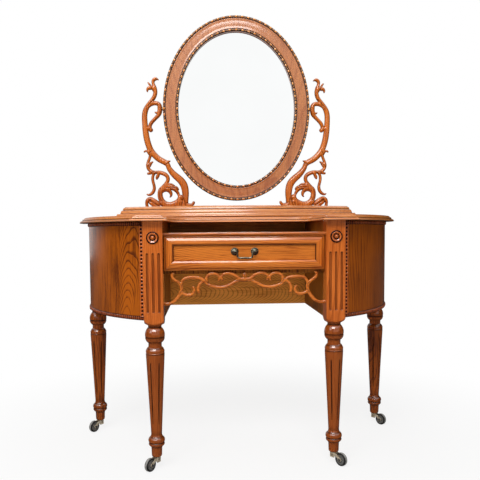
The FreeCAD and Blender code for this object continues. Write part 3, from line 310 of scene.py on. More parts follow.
# colours, grain and varnish of each board, where they differ from the varnish above
# the turned part of the front legs, below dimBelow, has a deeper colour than their square part
looks = {
    "oakTop": {"grain": "x", "pale": rgb(206, 126, 54), "deep": rgb(170, 88, 28), "seed": 3.0,
               "pith": (0.78, -0.55), "tilt": 0.02, "figure": 0.12, "contrast": (0.3, 0.75),
               "poreStrength": 0.2, "coat": 1.0, "coatRoughness": 0.2},
    "oakPlinth": {"grain": "x", "pale": rgb(212, 134, 60), "deep": rgb(178, 96, 34), "seed": 7.0,
                  "coatIor": 1.6, "coatRoughness": 0.2, "pith": (0.9, 0.1), "figure": 0.12,
                  "contrast": (0.3, 0.75), "poreStrength": 0.2, "coat": 1.0},
    "oakSunk": {"grain": "x", "pale": rgb(190, 104, 46), "deep": rgb(142, 70, 28), "seed": 9.0,
                "pith": (0.8, -0.4), "figure": 0.3, "poreStrength": 0.4},
    "oakPost": {"grain": "z", "pale": rgb(206, 108, 40), "deep": rgb(164, 74, 18), "seed": 11.0,
                "pith": (0.22, -0.05), "tilt": 0.03, "figure": 0.12, "contrast": (0.3, 0.75),
                "poreStrength": 0.5, "coat": 1.0, "coatRoughness": 0.08, "coatIor": 1.7,
                "dimBelow": 0.453, "dimShare": 0.62, "dimColour": rgb(104, 44, 4)},
    "oakLeg": {"grain": "z", "pale": rgb(150, 72, 12), "deep": rgb(100, 42, 4), "seed": 17.0,
               "pith": (0.2, 0.0), "tilt": 0.04, "figure": 0.3, "ringColour": rgb(82, 34, 10),
               "coat": 1.0, "coatRoughness": 0.1, "coatIor": 1.7},
    "oakLeft": {"grain": "z", "pale": rgb(176, 88, 6), "deep": rgb(92, 38, 2), "seed": 23.0,
                "pith": (-0.385, -0.06), "tilt": 0.24, "ringPitch": 0.0046, "wander": 0.034, "figure": 0.42,
                "contrast": (0.4, 0.62), "ringColour": rgb(84, 36, 6), "coatRoughness": 0.16},
    "oakRight": {"grain": "z", "pale": rgb(170, 84, 4), "deep": rgb(96, 42, 2), "seed": 29.0,
                 "pith": (0.9, 0.3), "tilt": 0.02, "ringPitch": 0.012, "figure": 0.3,
                 "contrast": (0.32, 0.74), "ringColour": rgb(66, 30, 4), "coatRoughness": 0.2},
    "oakDrawer": {"grain": "x", "pale": rgb(208, 118, 42), "deep": rgb(140, 62, 14), "seed": 31.0,
                  "pith": (0.585, -0.16), "tilt": 0.16, "ringPitch": 0.0042, "wander": 0.04, "figure": 0.45,
                  "ringColour": rgb(144, 66, 14), "poreStrength": 0.5},
    "oakRail": {"grain": "x", "pale": rgb(208, 116, 40), "deep": rgb(162, 76, 20), "seed": 37.0,
                "pith": (0.9, -0.1), "figure": 0.2, "poreStrength": 0.35, "coat": 1.0},
    "oakStile": {"grain": "z", "pale": rgb(208, 114, 38), "deep": rgb(160, 72, 18), "seed": 41.0,
                 "pith": (0.6, -0.1), "figure": 0.2, "poreStrength": 0.35, "coat": 0.8},
    "oakBack": {"grain": "x", "pale": rgb(228, 152, 66), "deep": rgb(184, 114, 42), "seed": 43.0,
                "pith": (0.50, 0.08), "tilt": 0.13, "ringPitch": 0.0021, "wander": 0.03, "figure": 0.4,
                "ringColour": rgb(136, 82, 26), "poreColour": rgb(110, 66, 24), "coat": 0.1},
    "oakKnee": {"grain": "z", "pale": rgb(150, 88, 24), "deep": rgb(100, 52, 10), "seed": 47.0,
                "pith": (0.4, 0.3), "figure": 0.4, "ringColour": rgb(70, 36, 8), "coat": 0.1},
    "oakCarved": {"grain": "z", "pale": rgb(202, 110, 34), "deep": rgb(164, 78, 18), "seed": 53.0,
                  "pith": (0.7, 0.5), "figure": 0.18, "poreStrength": 0.3, "ringColour": rgb(128, 56, 20),
                  "paintedShadeColour": rgb(54, 14, 6), "bump": 0.12, "coat": 1.0},
    "oakApron": {"grain": "x", "pale": rgb(202, 112, 40), "deep": rgb(160, 78, 22), "seed": 59.0,
                 "pith": (0.9, 0.5), "figure": 0.18, "poreStrength": 0.3, "bump": 0.12, "coat": 0.8},
    "oakMirror": {"grain": "z", "pale": rgb(190, 120, 68), "deep": rgb(160, 90, 46), "seed": 61.0,
                  "pith": (0.1, 0.9), "ringPitch": 0.007, "figure": 0.16, "poreStrength": 0.4,
                  "contrast": (0.25, 0.8), "ringColour": rgb(146, 80, 42), "paintedShadeColour": rgb(26, 5, 4),
                  "coat": 1.0, "specular": 0.4},
    "oakBead": {"grain": "z", "pale": rgb(232, 160, 84), "deep": rgb(204, 118, 52), "seed": 67.0,
                "pith": (0.7, 0.5), "figure": 0.1, "poreStrength": 0.15, "paintedShadeColour": rgb(52, 14, 8),
                "bump": 0.05, "coat": 1.0, "coatIor": 1.7},
    "oakStrip": {"grain": "z", "pale": rgb(150, 72, 34), "deep": rgb(104, 42, 18), "seed": 69.0,
                 "pith": (0.7, 0.5), "figure": 0.1, "poreStrength": 0.15, "paintedShadeColour": rgb(40, 10, 6),
                 "bump": 0.05, "coat": 0.8},
    "oakPlain": {"grain": "x", "pale": rgb(206, 142, 74), "deep": rgb(172, 106, 46), "seed": 71.0,
                 "pith": (0.9, 0.3), "figure": 0.4, "ringColour": rgb(134, 80, 34),
                 "poreColour": rgb(104, 60, 26), "roughness": 0.5, "coatRoughness": 0.4, "coat": 0.1},
    "oakRunner": {"grain": "y", "pale": rgb(196, 136, 72), "deep": rgb(160, 100, 46), "seed": 73.0,
                  "pith": (0.9, 0.3), "figure": 0.4, "ringColour": rgb(134, 80, 34),
                  "poreColour": rgb(104, 60, 26), "roughness": 0.5, "coatRoughness": 0.4, "coat": 0.1},
}
wood = {name: oak(name, {**varnish, **look}) for name, look in looks.items()}


def agedMetal(name, base, worn, roughness):
    r = Recipe(bpy.data.materials.new(name))
    place = r.place()
    cloud = r.noise(place, 220.0, 3.0, 0.6)
    grit = r.noise(place, 1320.0, 2.0, 0.6)
    wear = r.step(cloud, 0.42, 0.62)
    colour = r.blend(wear * 0.5, base, worn)
    # painted shade: near black between the handle rosettes' petals and in their ring
    colour = r.blend(r.paintedLight(), colour, (0.01, 0.009, 0.008))
    return r.finish({"Base Color": colour, "Metallic": 1 - wear * 0.15, "Roughness": grit * 0.2 + roughness,
                     "Normal": r.relief(0.2, 0.0003, grit)})


def casterPaint():
    r = Recipe(bpy.data.materials.new("casterNickel"))
    cloud = r.noise(r.place(), 160.0, 3.0, 0.6)
    colour = r.blend(r.step(cloud, 0.4, 0.65), rgb(214, 202, 178), rgb(178, 160, 132))
    # painted shade in the sunk middle of each embossed oblong
    colour = r.blend(r.paintedLight(), colour, rgb(70, 60, 48))
    return r.finish({"Base Color": colour, "Metallic": 0.35, "Roughness": cloud * 0.2 + 0.28})


def casterRubber():
    r = Recipe(bpy.data.materials.new("casterRubber"))
    dust = r.noise(r.place(), 300.0, 3.0, 0.6)
    colour = r.blend(r.step(dust, 0.45, 0.7), rgb(24, 23, 23), rgb(52, 50, 48))
    # painted sheen: the middle of the tread is painted pale for its reflection, and the hub a little paler
    colour = r.blend(r.paintedLight(), colour, rgb(150, 148, 144))
    return r.finish({"Base Color": colour, "Roughness": dust * 0.25 + 0.4,
                     "Normal": r.relief(0.15, 0.0003, dust)})


def silvered():
    r = Recipe(bpy.data.materials.new("silveredGlass"))
    haze = r.noise(r.place(), 6.0)
    return r.finish({"Base Color": r.blend(haze, (0.93, 0.94, 0.94), (0.97, 0.98, 0.98)), "Metallic": 1.0,
                     "Roughness": 0.0})


def plyBoard():
    r = Recipe(bpy.data.materials.new("backPly"))
    x, y, z = r.axes()
    grain = r.noise(r.join(x * 160.0, y * 160.0, z * 7.0), 1.0, 3.0, 0.6)
    cloud = r.noise(r.join(x * 9.0, y * 9.0, z * 3.0), 1.0)
    colour = r.blend(r.step(grain * 0.6 + cloud * 0.4, 0.36, 0.66), rgb(208, 148, 84), rgb(174, 112, 54))
    return r.finish({"Base Color": colour, "Roughness": grain * 0.2 + 0.5,
                     "Normal": r.relief(0.2, 0.0003, grain), "Specular IOR Level": 0.15})


bronze = agedMetal("agedBronze", rgb(84, 82, 70), rgb(178, 176, 156), 0.22)
steel = agedMetal("steel", rgb(150, 150, 148), rgb(112, 110, 104), 0.3)
brass = agedMetal("brass", rgb(190, 150, 80), rgb(150, 112, 56), 0.28)
nickel, rubber, mirrorFace, ply = casterPaint(), casterRubber(), silvered(), plyBoard()
print("materials made")


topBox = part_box("table_top")
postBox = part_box("front_leg_right")
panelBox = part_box("side_panel_right")
backY = panelBox[1].y                       # back of the case
caseLow, caseHigh = panelBox[0].z, panelBox[1].z
halfWidth = panelBox[1].x
postHalf = 29 * mm
postX = (postBox[0].x + postBox[1].x) / 2
postOuter, postInner = postX + postHalf, postX - postHalf
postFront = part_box("post_rosettes")[1].y
panelFront = panelBox[0].y
reach = backY - panelFront                  # the curved end from its post to the back
arcX = (halfWidth ** 2 - postOuter ** 2 - reach ** 2) / (2 * (halfWidth - postOuter))
arcRadius = halfWidth - arcX

# the top's edge runs 36.5 past the post outside and 14 inside; (below, inset) pairs give its moulding
topLook = {"pastPost": 36.5, "insidePost": 14.0, "recess": 285.0, "recessRadius": 50.0,
           "cornerSteps": 12, "endSteps": 40,
           "profile": [(0, 20.8), (0.3, 18.4), (0.9, 16.8), (2.2, 16.1), (3.8, 15.4), (4.3, 13.6),
                       (4.9, 11.2), (5.6, 10.4), (7.4, 9.6), (9.2, 8.8), (9.6, 8.8), (9.9, 9.8),
                       (10.7, 9.8), (11.0, 6.4), (11.6, 4.2), (12.4, 3.0), (13.6, 2.3), (15.2, 1.6),
                       (15.8, 0.8), (16.2, 0), (17.0, 0.4), (17.6, 1.2), (18, 2.2)],
           # grooves are painted shade in the quirks and under the edge; wingShade is painted shade on the
           # wings' edge
           "grooves": [(10.3, 1.3, 1.0), (4.5, 0.8, 0.35), (17.6, 1.6, 0.6)],
           "seam": 335.0, "seamWidth": 1.5, "wingBelow": 10.7, "wingShade": 0.3}


def rightAndLeft(half):
    # closes a right half outline with its mirror image; its first and last points lie in the middle
    return half + [(-px, py) for px, py in reversed(half[1:-1])]


def topOutline(inset):
    # the table top's edge, moved in by inset, right half then left half, anticlockwise from above
    look = topLook
    endRadius = topBox[1].x - arcX - inset
    sideX = postOuter + look["pastPost"] * mm - inset
    sideY = backY - math.sqrt(endRadius ** 2 - (sideX - arcX) ** 2)
    blockY = topBox[0].y + inset
    innerX = postInner - look["insidePost"] * mm + inset
    middleY = topBox[0].y + look["recess"] * mm + inset
    radius = look["recessRadius"] * mm + inset
    centre = (innerX - radius, middleY - radius)
    half = [(0.0, middleY), (centre[0] * 0.5, middleY)]
    for n in range(look["cornerSteps"] + 1):
        turn = math.radians(90 - 90 * n / look["cornerSteps"])
        half.append((centre[0] + radius * math.cos(turn), centre[1] + radius * math.sin(turn)))
    half += [(innerX, blockY), (sideX, blockY), (sideX, sideY)]
    start = math.atan2(sideY - backY, sideX - arcX)
    for n in range(1, look["endSteps"] + 1):
        turn = start * (1 - n / look["endSteps"])
        half.append((arcX + endRadius * math.cos(turn), backY + endRadius * math.sin(turn)))
    return rightAndLeft(half + [(arcX + endRadius, topBox[1].y), (0.0, topBox[1].y)])


def mouldedBoard(outline, look, top):
    # a board with a moulded edge and, at each depth below its top, the painted shade of its grooves
    rings, shade = [], []
    for below, inset in look["profile"]:
        rings.append([(px, py, top - below * mm) for px, py in outline(inset * mm)])
        shade += [float(darkLines(below, look["grooves"], 0.3))] * len(rings[-1])
    return *loft(rings), shade


verts, faces, shade = mouldedBoard(topOutline, topLook, topBox[1].z)
outward = np.abs([v[0] for v in verts]) / mm - topLook["seam"]     # painted shade: the wings' edge is a tone darker, as it gets less light
belowTop = (topBox[1].z - np.array([v[2] for v in verts])) / mm
wing = smoothStep(0, topLook["seamWidth"], outward) * (belowTop > topLook["wingBelow"])
makePiece("tableTop", (verts, faces, np.maximum(shade, wing * topLook["wingShade"])), "table", wood["oakTop"],
          ["table_top"])

bowLook = {"sideStraight": 35.0, "steps": 40}


def bowOutline(box):
    # a board bowed in front, straight for a short way at its sides and straight behind
    low, high = box
    rise = high.y - bowLook["sideStraight"] * mm - low.y
    radius = (high.x ** 2 + rise ** 2) / (2 * rise)
    centreY = low.y + radius

    def outline(inset):
        endX = high.x - inset
        half = []
        for n in range(bowLook["steps"] + 1):
            px = endX * n / bowLook["steps"]
            half.append((px, centreY - math.sqrt((radius - inset) ** 2 - px ** 2)))
        return rightAndLeft(half + [(endX, high.y), (0.0, high.y)])
    return outline


# grooves are painted shade in the quirks and along the foot of each board
capLook = {"profile": [(0, 18.6), (0.4, 17.6), (1.8, 16.2), (3.2, 13.6), (4.4, 11.4), (5.2, 10.6),
                       (7.0, 9.9), (9.0, 9.1), (10.0, 8.8), (10.5, 9.8), (11.6, 9.8), (11.9, 8.4),
                       (12.8, 6.4), (13.8, 4.6), (14.8, 3.6), (16.6, 2.9), (18.6, 2.1), (20.8, 1.3),
                       (22.2, 0.5), (23.0, 0), (24.0, 0.5), (25, 2.2)],
           "grooves": [(11.0, 1.4, 0.95), (24.8, 1.4, 0.9), (4.0, 1.2, 0.25), (13.2, 1.2, 0.25)]}
baseLook = {"profile": [(0, 8.6), (0.4, 7.0), (1.2, 6.0), (2.8, 5.4), (4.6, 4.7), (6.2, 4.0), (6.8, 3.0),
                        (7.4, 2.0), (8.8, 0.9), (10.6, 0.2), (12.0, 0), (12.8, 0.6), (13.2, 2.4),
                        (14.2, 2.8), (16, 2.8)],
            "grooves": [(7.0, 0.8, 0.4), (14.6, 2.0, 1.0)]}
for name, node, look in (("plinthCap", "plinth_cap", capLook), ("plinthBase", "plinth_base", baseLook)):
    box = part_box(node)
    makePiece(name, mouldedBoard(bowOutline(box), look, box[1].z), "table", wood["oakPlinth"],
              [node])
print("top and plinth made")


endLook = {"thickness": 12.0, "steps": 96}


def arcPlace(radius, turn):
    return arcX + radius * math.cos(turn), backY + radius * math.sin(turn)


def arcStart(radius):
    return -math.acos((postOuter - arcX) / radius)


def curvedWall(inner, outer, low, high, steps):
    rings = []
    for n in range(steps + 1):
        ring = []
        for radius, z in ((inner, low), (outer, low), (outer, high), (inner, high)):
            turn = arcStart(radius) * (1 - n / steps)
            ring.append((*arcPlace(radius, turn), z))
        rings.append(ring)
    return loft(rings)


inside = arcRadius - endLook["thickness"] * mm
curvedEnd = (*curvedWall(inside, arcRadius, caseLow, caseHigh, endLook["steps"]), None)
makePiece("curvedEnd_right", curvedEnd, "table", wood["oakRight"], ["side_panel_right"])
makePiece("curvedEnd_left", mirrored(curvedEnd), "table", wood["oakLeft"], ["side_panel_left"])

beadLook = {"tip": 0.02, "footDark": 0.9, "darkFrom": -0.1, "darkTo": 0.55}


def bead(centre, sizes, axes, count=(10, 7)):
    # a rounded bead with half sizes along three axes; painted shade towards its foot along the third axis
    rings, shade = [], []
    turns, levels = count
    for j in range(levels + 1):
        rise = math.pi * (j / levels - 0.5)
        wide, deep = math.cos(rise) * sizes[0], math.cos(rise) * sizes[2]
        if j in (0, levels):
            wide, deep = beadLook["tip"], beadLook["tip"]
        ring = []
        for i in range(turns):
            turn = 2 * math.pi * i / turns
            p = (wide * math.cos(turn), math.sin(rise) * sizes[1], deep * math.sin(turn))
            ring.append(Vector(centre) + (axes[0] * p[0] + axes[1] * p[1] + axes[2] * p[2]) * mm)
            lit = float(smoothStep(beadLook["darkFrom"], beadLook["darkTo"], p[2] / sizes[2]))
            shade.append(beadLook["footDark"] * (1 - lit))
        rings.append(ring)
    return *loft(rings), shade


stripLook = {"height": 12.5, "band": 1.4, "bandSteps": 72, "beadPitch": 8.4, "beadWidth": 6.4,
             "beadHeight": 11.6, "beadSink": 1.0, "proud": 4.2}


def archStrip(low):
    # a row of upright beads round the curved end, on a thin backing band
    look = stripLook
    verts, faces = curvedWall(arcRadius, arcRadius + look["band"] * mm, low, low + look["height"] * mm,
                              look["bandSteps"])
    # painted shade: the backing band is fully dark, as the shade between the beads
    parts = [(verts, faces, [1.0] * len(verts))]
    start = arcStart(arcRadius)
    count = int(-start * arcRadius / (look["beadPitch"] * mm))
    sizes = (look["beadWidth"] / 2, look["beadHeight"] / 2, look["proud"] - look["beadSink"])
    for n in range(count):
        turn = start * (1 - (n + 0.5) / count)
        outward = Vector((math.cos(turn), math.sin(turn), 0))
        px, py = arcPlace(arcRadius + look["beadSink"] * mm, turn)
        parts.append(bead((px, py, low + look["height"] / 2 * mm), sizes, (outward.cross(up), up, outward)))
    return joinMeshes(parts)


for name, node, low in (("bottomBeadStrips", "bottom_bead_strips", caseLow),
                        ("topBeadStrips", "top_bead_strips", caseHigh - stripLook["height"] * mm)):
    strip = archStrip(low)
    makePiece(name, joinMeshes([strip, mirrored(strip)]), "table", wood["oakStrip"], [node],
              sharpAngle=60)

uprightLook = {"width": 13.0, "columns": 20, "rowStep": 0.75, "face": 1.1, "pitch": 11.05, "hole": 3.5,
               "depth": 3.0, "bead": 2.6, "beadRise": 0.5, "edge": 1.2, "edgeDrop": 0.9, "behind": 0.1}


def postStrip():
    # an upright band with a row of drilled rounds and small beads between them; painted shade fills the
    # rounds and darkens the band's edges and side walls
    look = uprightLook
    low, high = caseLow + stripLook["height"] * mm, caseHigh - stripLook["height"] * mm
    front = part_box("post_bead_strips")[0].y
    columns = np.linspace(0, look["width"], look["columns"])
    rows = np.arange(0, (high - low) / mm + 0.01, look["rowStep"])
    grid, shade = [], []
    middle = look["width"] / 2
    for row in rows:
        holeAt = (math.floor(row / look["pitch"]) + 0.5) * look["pitch"]
        beadAt = round(row / look["pitch"]) * look["pitch"]
        for column in columns:
            fromHole = math.hypot(column - middle, row - holeAt)
            fromBead = math.hypot((column - middle) * 0.9, row - beadAt)
            pit = 1 - float(smoothStep(look["hole"] - 0.9, look["hole"] + 0.25, fromHole))
            dome = 1 - float(smoothStep(0.5, look["bead"], fromBead))
            edge = float(smoothStep(middle - look["edge"], middle, abs(column - middle)))
            sunk = look["face"] + pit * look["depth"] - dome * look["beadRise"] + edge * look["edgeDrop"]
            grid.append((postOuter + column * mm, front + sunk * mm, low + row * mm))
            shade.append(min(1.0, pit * 1.3 + edge * 0.5))
    faces = []
    across = len(columns)
    for j in range(len(rows) - 1):
        for i in range(across - 1):
            a = j * across + i
            faces.append((a, a + 1, a + across + 1, a + across))
    # two rows of points further back, on the curved end, for the side walls and the back
    back = len(grid)
    for row in rows:
        for column in (columns[0], columns[-1]):
            px = postOuter + column * mm
            behind = backY - math.sqrt(arcRadius ** 2 - (px - arcX) ** 2) + look["behind"] * mm
            grid.append((px, behind, low + row * mm))
            shade.append(0.6)
    for j in range(len(rows) - 1):
        a, b = j * across, (j + 1) * across
        c, d = back + 2 * j, back + 2 * (j + 1)
        faces += [(a, b, d, c), (a + across - 1, b + across - 1, d + 1, c + 1), (c, c + 1, d + 1, d)]
    last = (len(rows) - 1) * across
    faces.append((*range(across), back + 1, back))
    faces.append((*range(last, last + across), len(grid) - 1, len(grid) - 2))
    return grid, faces, shade


strip = postStrip()
makePiece("postBeadStrips", joinMeshes([strip, mirrored(strip)]), "table", wood["oakPost"],
          ["post_bead_strips"], sharpAngle=50)
print("curved ends made")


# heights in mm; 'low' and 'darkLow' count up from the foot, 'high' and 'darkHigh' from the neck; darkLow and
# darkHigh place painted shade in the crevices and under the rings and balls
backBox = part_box("back_leg_right")
foot, neck = backBox[0].z / mm, caseLow / mm - 19
legLook = {"flutes": 6, "fluteWidth": 2.7, "fluteDepth": 2.1, "fluteLow": 101.0, "fluteHigh": 104.0,
           "count": 240, "arcStep": 1.6, "longSpan": 8.0, "longStep": 12.0, "fineStep": 1.3,
           "low": [(0, 11.5), (1.4, 14.2, 5, 15.5), (27, 16.3), (31, 18.1, 35, 22), (39, 24, 43, 23.2),
                   (44, 21.6), (45, 23.2), (51, 25, 58, 22.8), (63, 18.3, 71, 16.3), (84, 16.9)],
           "high": [(-82, 28), (-81, 26.7), (-79.6, 28, -78, 27), (-73, 28, -67, 25.8),
                    (-62, 22.6, -60, 19.9), (-48, 19.8), (-42, 26, -31, 29.1), (-30, 27.2), (-29, 29.1),
                    (-14, 28, -1, 19.8), (0, 19.8)],
           "pad": [(6, 20.3), *arcPoints((6, 20.3), (7.5, 25.6), (10, 28), 5), (18.8, 28)],
           "darkLow": [(44, 2.4, 1.0), (61, 4.5, 0.6), (70, 4, 0.3), (32, 4.0, 0.55)],
           "darkHigh": [(-81, 1.8, 0.9), (-64, 4.5, 0.6), (-54, 6.5, 0.6), (-45, 4.0, 0.55),
                        (-30, 2.0, 1.0), (-33, 4.0, 0.4), (0, 5.0, 0.8)]}


def raised(corners, level):
    # corners of (z, radius) pairs, each z moved up by level
    return [tuple(v + level if k % 2 == 0 else v for k, v in enumerate(corner)) for corner in corners]


def legLevels(profile, fluteLow, fluteHigh):
    # long spans of the profile are cut up, finely near the ends of the flutes
    look = legLook
    levels = []
    for (z0, r0), (z1, r1) in zip(profile, profile[1:]):
        pieces = 1
        if z1 - z0 > look["longSpan"]:
            near = any(z0 - 6 < edge < z1 + 6 for edge in (fluteLow, fluteHigh))
            pieces = max(1, int((z1 - z0) / look["fineStep" if near else "longStep"]))
        levels += [(z0 + (z1 - z0) * n / pieces, r0 + (r1 - r0) * n / pieces) for n in range(pieces)]
    return levels + [profile[-1]]


def legRings(extra):
    # rings of one leg about the Z axis, in mm, with their painted shade in the crevices and flutes
    look = legLook
    profile = profilePoints(raised(look["low"], foot) + raised(look["high"], neck), look["arcStep"]) + extra
    dark = ([(foot + at, width, strength) for at, width, strength in look["darkLow"]]
            + [(neck + at, width, strength) for at, width, strength in look["darkHigh"]])
    fluteLow, fluteHigh = foot + look["fluteLow"], neck - look["fluteHigh"]
    apart = 2 * math.pi / look["flutes"]
    rings, shades = [], []
    for z, radius in legLevels(profile, fluteLow, fluteHigh):
        ring = []
        base = float(darkLines(z, dark, 0.4))
        slim = float(np.interp(z, [fluteLow, fluteLow + 45, fluteHigh - 14, fluteHigh], [0.45, 1, 1, 0.6]))
        for n in range(look["count"]):
            turn = 2 * math.pi * n / look["count"]
            cut = 0.0
            if fluteLow - 5 < z < fluteHigh + 5:
                off = (turn + apart / 2) % apart - apart / 2
                beyond = max(0.0, fluteLow + 3 - z, z - fluteHigh + 3)
                gap = math.hypot(off * radius / slim, beyond)
                cut = 1 - float(smoothStep(look["fluteWidth"] * 0.35, look["fluteWidth"], gap))
            r = radius - cut * look["fluteDepth"] * slim
            ring.append((r * math.cos(turn), r * math.sin(turn), z))
            shades.append(max(base, cut * 0.95))
        rings.append(ring)
    return rings, shades


def standLeg(rings, shades, x, y):
    return *loft([[(x + px * mm, y + py * mm, pz * mm) for px, py, pz in ring] for ring in rings]), shades


postLook = {"half": postHalf / mm, "corner": 2.2, "tongue": [(5, 20.4), (10, 29.0, 24, 43)],
            "fluteLow": 25.0, "fluteHigh": 93.0, "pitch": 17.0, "fluteHalf": 3.7, "fluteDepth": 3.0}


def postLevels(top, fluteLow, fluteHigh):
    # close together over the rounded tongue and at both ends of the flutes
    levels = [neck + 5.4] + [neck + 6 + n for n in range(20)] + [neck + 28, neck + 34]
    levels += [fluteLow - 1 + 0.7 * n for n in range(14)] + [fluteLow + 14 + 12 * n for n in range(13)]
    levels += [fluteHigh - 8.2 + 0.7 * n for n in range(14)] + [top - 56, top - 31, top]
    return sorted(levels)


def squarePoint(turn):
    # a point in mm on the post's square section with rounded corners
    half, corner = postLook["half"], postLook["corner"]
    cx, cy = math.cos(turn), math.sin(turn)
    size = half / max(abs(cx), abs(cy))
    px, py = cx * size, cy * size
    ex, ey = abs(px) - half + corner, abs(py) - half + corner
    if ex > 0 and ey > 0:
        length = math.hypot(ex, ey)
        px = math.copysign(half - corner + ex / length * corner, px)
        py = math.copysign(half - corner + ey / length * corner, py)
    return px, py


def frontLeg(x, y):
    look = postLook
    top = caseHigh / mm
    fluteLow, fluteHigh = caseLow / mm + look["fluteLow"], top - look["fluteHigh"]
    rings, shades = legRings([(neck + 5, 20.2)])
    tongue = raised(profilePoints(look["tongue"], 0.8), neck)
    for z in postLevels(top, fluteLow, fluteHigh):
        limit = float(np.interp(z, [p[0] for p in tongue], [p[1] for p in tongue]))
        beyond = max(0.0, fluteLow + look["fluteHalf"] - z, z - fluteHigh + look["fluteHalf"])
        ring = []
        for n in range(legLook["count"]):
            px, py = squarePoint(2 * math.pi * n / legLook["count"])
            length = math.hypot(px, py)
            # painted shade at the foot of the square part and in the flutes, darkest at their edges and under
            # their top ends
            shade = 0.55 * (1 - float(smoothStep(neck + 5, neck + 8, z)))
            if length > limit:
                px, py = px * limit / length, py * limit / length
            elif py < -look["half"] + 0.6:
                for k in (-1, 0, 1):
                    gap = math.hypot(px - k * look["pitch"], beyond)
                    cut = 1 - float(smoothStep(look["fluteHalf"] * 0.45, look["fluteHalf"], gap))
                    if cut > 0:
                        py += cut * look["fluteDepth"]
                        side = math.exp(-((gap - look["fluteHalf"] * 0.8) / 0.9) ** 2)
                        underTop = 1 - float(smoothStep(1, 9, fluteHigh - z))
                        shade = max(shade, cut * 0.5, side * 0.8, cut * underTop)
            ring.append((px, py, z))
            shades.append(shade)
        rings.append(ring)
    return standLeg(rings, shades, x, y)


frontY = postFront + postHalf
backX, backLegY = (backBox[0].x + backBox[1].x) / 2, (backBox[0].y + backBox[1].y) / 2
for side, sign in (("right", 1), ("left", -1)):
    makePiece("frontLeg_" + side, frontLeg(sign * postX, frontY), "table", wood["oakPost"],
              ["front_leg_" + side], sharpAngle=40)
    backLeg = standLeg(*legRings(raised(legLook["pad"], neck)), sign * backX, backLegY)
    makePiece("backLeg_" + side, backLeg, "table", wood["oakLeg"], ["back_leg_" + side],
              sharpAngle=40)

# dark is painted shade in the rosette's grooves
rosetteLook = {"profile": [(0, 18.5), (1.8, 18.5), (2.6, 18.2, 2.8, 17.7), (1.6, 16.8), (1.6, 15.8),
                           (3.0, 15.0), (4.2, 14.2, 4.0, 13.2), (3.2, 11.5), (2.9, 9.8), (2.0, 8.8),
                           (1.2, 8.4), (1.2, 6.8), (3.0, 5.8), (5.6, 4.8, 7.6, 2.4), (8.0, 0.1)],
               "dark": [(16.6, 2.6, 1.0), (7.8, 2.5, 1.0)], "belowTop": 48.5, "count": 56}
parts = []
for sign in (-1, 1):
    place = (sign * postX, postFront, caseHigh - rosetteLook["belowTop"] * mm)
    profile = profilePoints(rosetteLook["profile"], 0.6)
    shade = []
    for along, radius in profile:
        shade += [float(darkLines(radius, rosetteLook["dark"], 0.0, 0.6))] * rosetteLook["count"]
    parts.append((*lathe(profile, place, (0, -1, 0), rosetteLook["count"]), shade))
makePiece("postRosettes", joinMeshes(parts), "table", wood["oakPost"], ["post_rosettes"],
          sharpAngle=55)
print("legs made")


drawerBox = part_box("drawer_moulding_rails")
panelFaceY = drawerBox[1].y
# dark and step are painted shade: in the quirk, along the outer edge and on the inner step
drawerLook = {"section": [(0, 0), (0, 2.6), (0.4, 3.3), (4.1, 5.0), (4.5, 4.2), (4.7, 2.6), (6.4, 2.6),
                          (6.8, 4.4), (7.3, 5.8), (10.4, 7.2), (13.4, 8.6), (14.4, 9.0), (22.4, 9.0),
                          (23.2, 8.8), (27.9, 6.1), (28.6, 4.6), (29.0, 0)],
              "dark": [(5.6, 1.4, 1.0), (0.2, 0.5, 0.5)], "step": (27.4, 3.4, 1.0)}


def mitredBar(centre, halfLength, halfHeight, turn):
    # one of the four bars; u runs in from the outer edge
    reachOut = halfHeight if turn % 180 == 0 else halfLength
    halfRun = halfLength if turn % 180 == 0 else halfHeight
    ringA, ringB, shade = [], [], []
    # the inner step gets painted shade, but for the bottom bar's, which catches the light
    lines = drawerLook["dark"] + ([] if turn == 180 else [drawerLook["step"]])
    a = math.radians(turn)
    for u, height in drawerLook["section"]:
        for ring, sign in ((ringA, -1), (ringB, 1)):
            px, pz = sign * (halfRun - u * mm), reachOut - u * mm
            ring.append((centre[0] + px * math.cos(a) - pz * math.sin(a), panelFaceY - height * mm,
                         centre[2] + px * math.sin(a) + pz * math.cos(a)))
        shade.append(float(darkLines(u, lines, 0.2)))
    return *loft([ringA, ringB]), shade + shade


centre = (0, 0, (drawerBox[0].z + drawerBox[1].z) / 2)
halfLength, halfHeight = drawerBox[1].x, (drawerBox[1].z - drawerBox[0].z) / 2
for name, node, turns, material in (("drawerRails", "drawer_moulding_rails", (0, 180), "oakRail"),
                                    ("drawerStiles", "drawer_moulding_stiles", (90, 270), "oakStile")):
    bars = joinMeshes([mitredBar(centre, halfLength, halfHeight, turn) for turn in turns])
    makePiece(name, bars, "drawer", wood[material], [node], sharpAngle=28)

_, handleY, handleZ = joints["bail_hinge"]["pos_m"]
handleLook = {"spacing": 60.0, "count": 60, "petals": 10, "petalDepth": 0.7, "bolt": [(-19, 2.4), (0.3, 2.5)],
              "plate": [(0, 11.6), (0.8, 11.8), (1.6, 11.2), (2.0, 9.8), (1.8, 8.8), (2.6, 8.0), (3.6, 6.6),
                        (4.2, 5.0), (5.4, 4.2), (8.2, 3.9), (9.6, 4.4), (11.4, 4.9), (13.4, 4.4),
                        (14.8, 3.0), (15.4, 0.8), (15.5, 0.1)]}


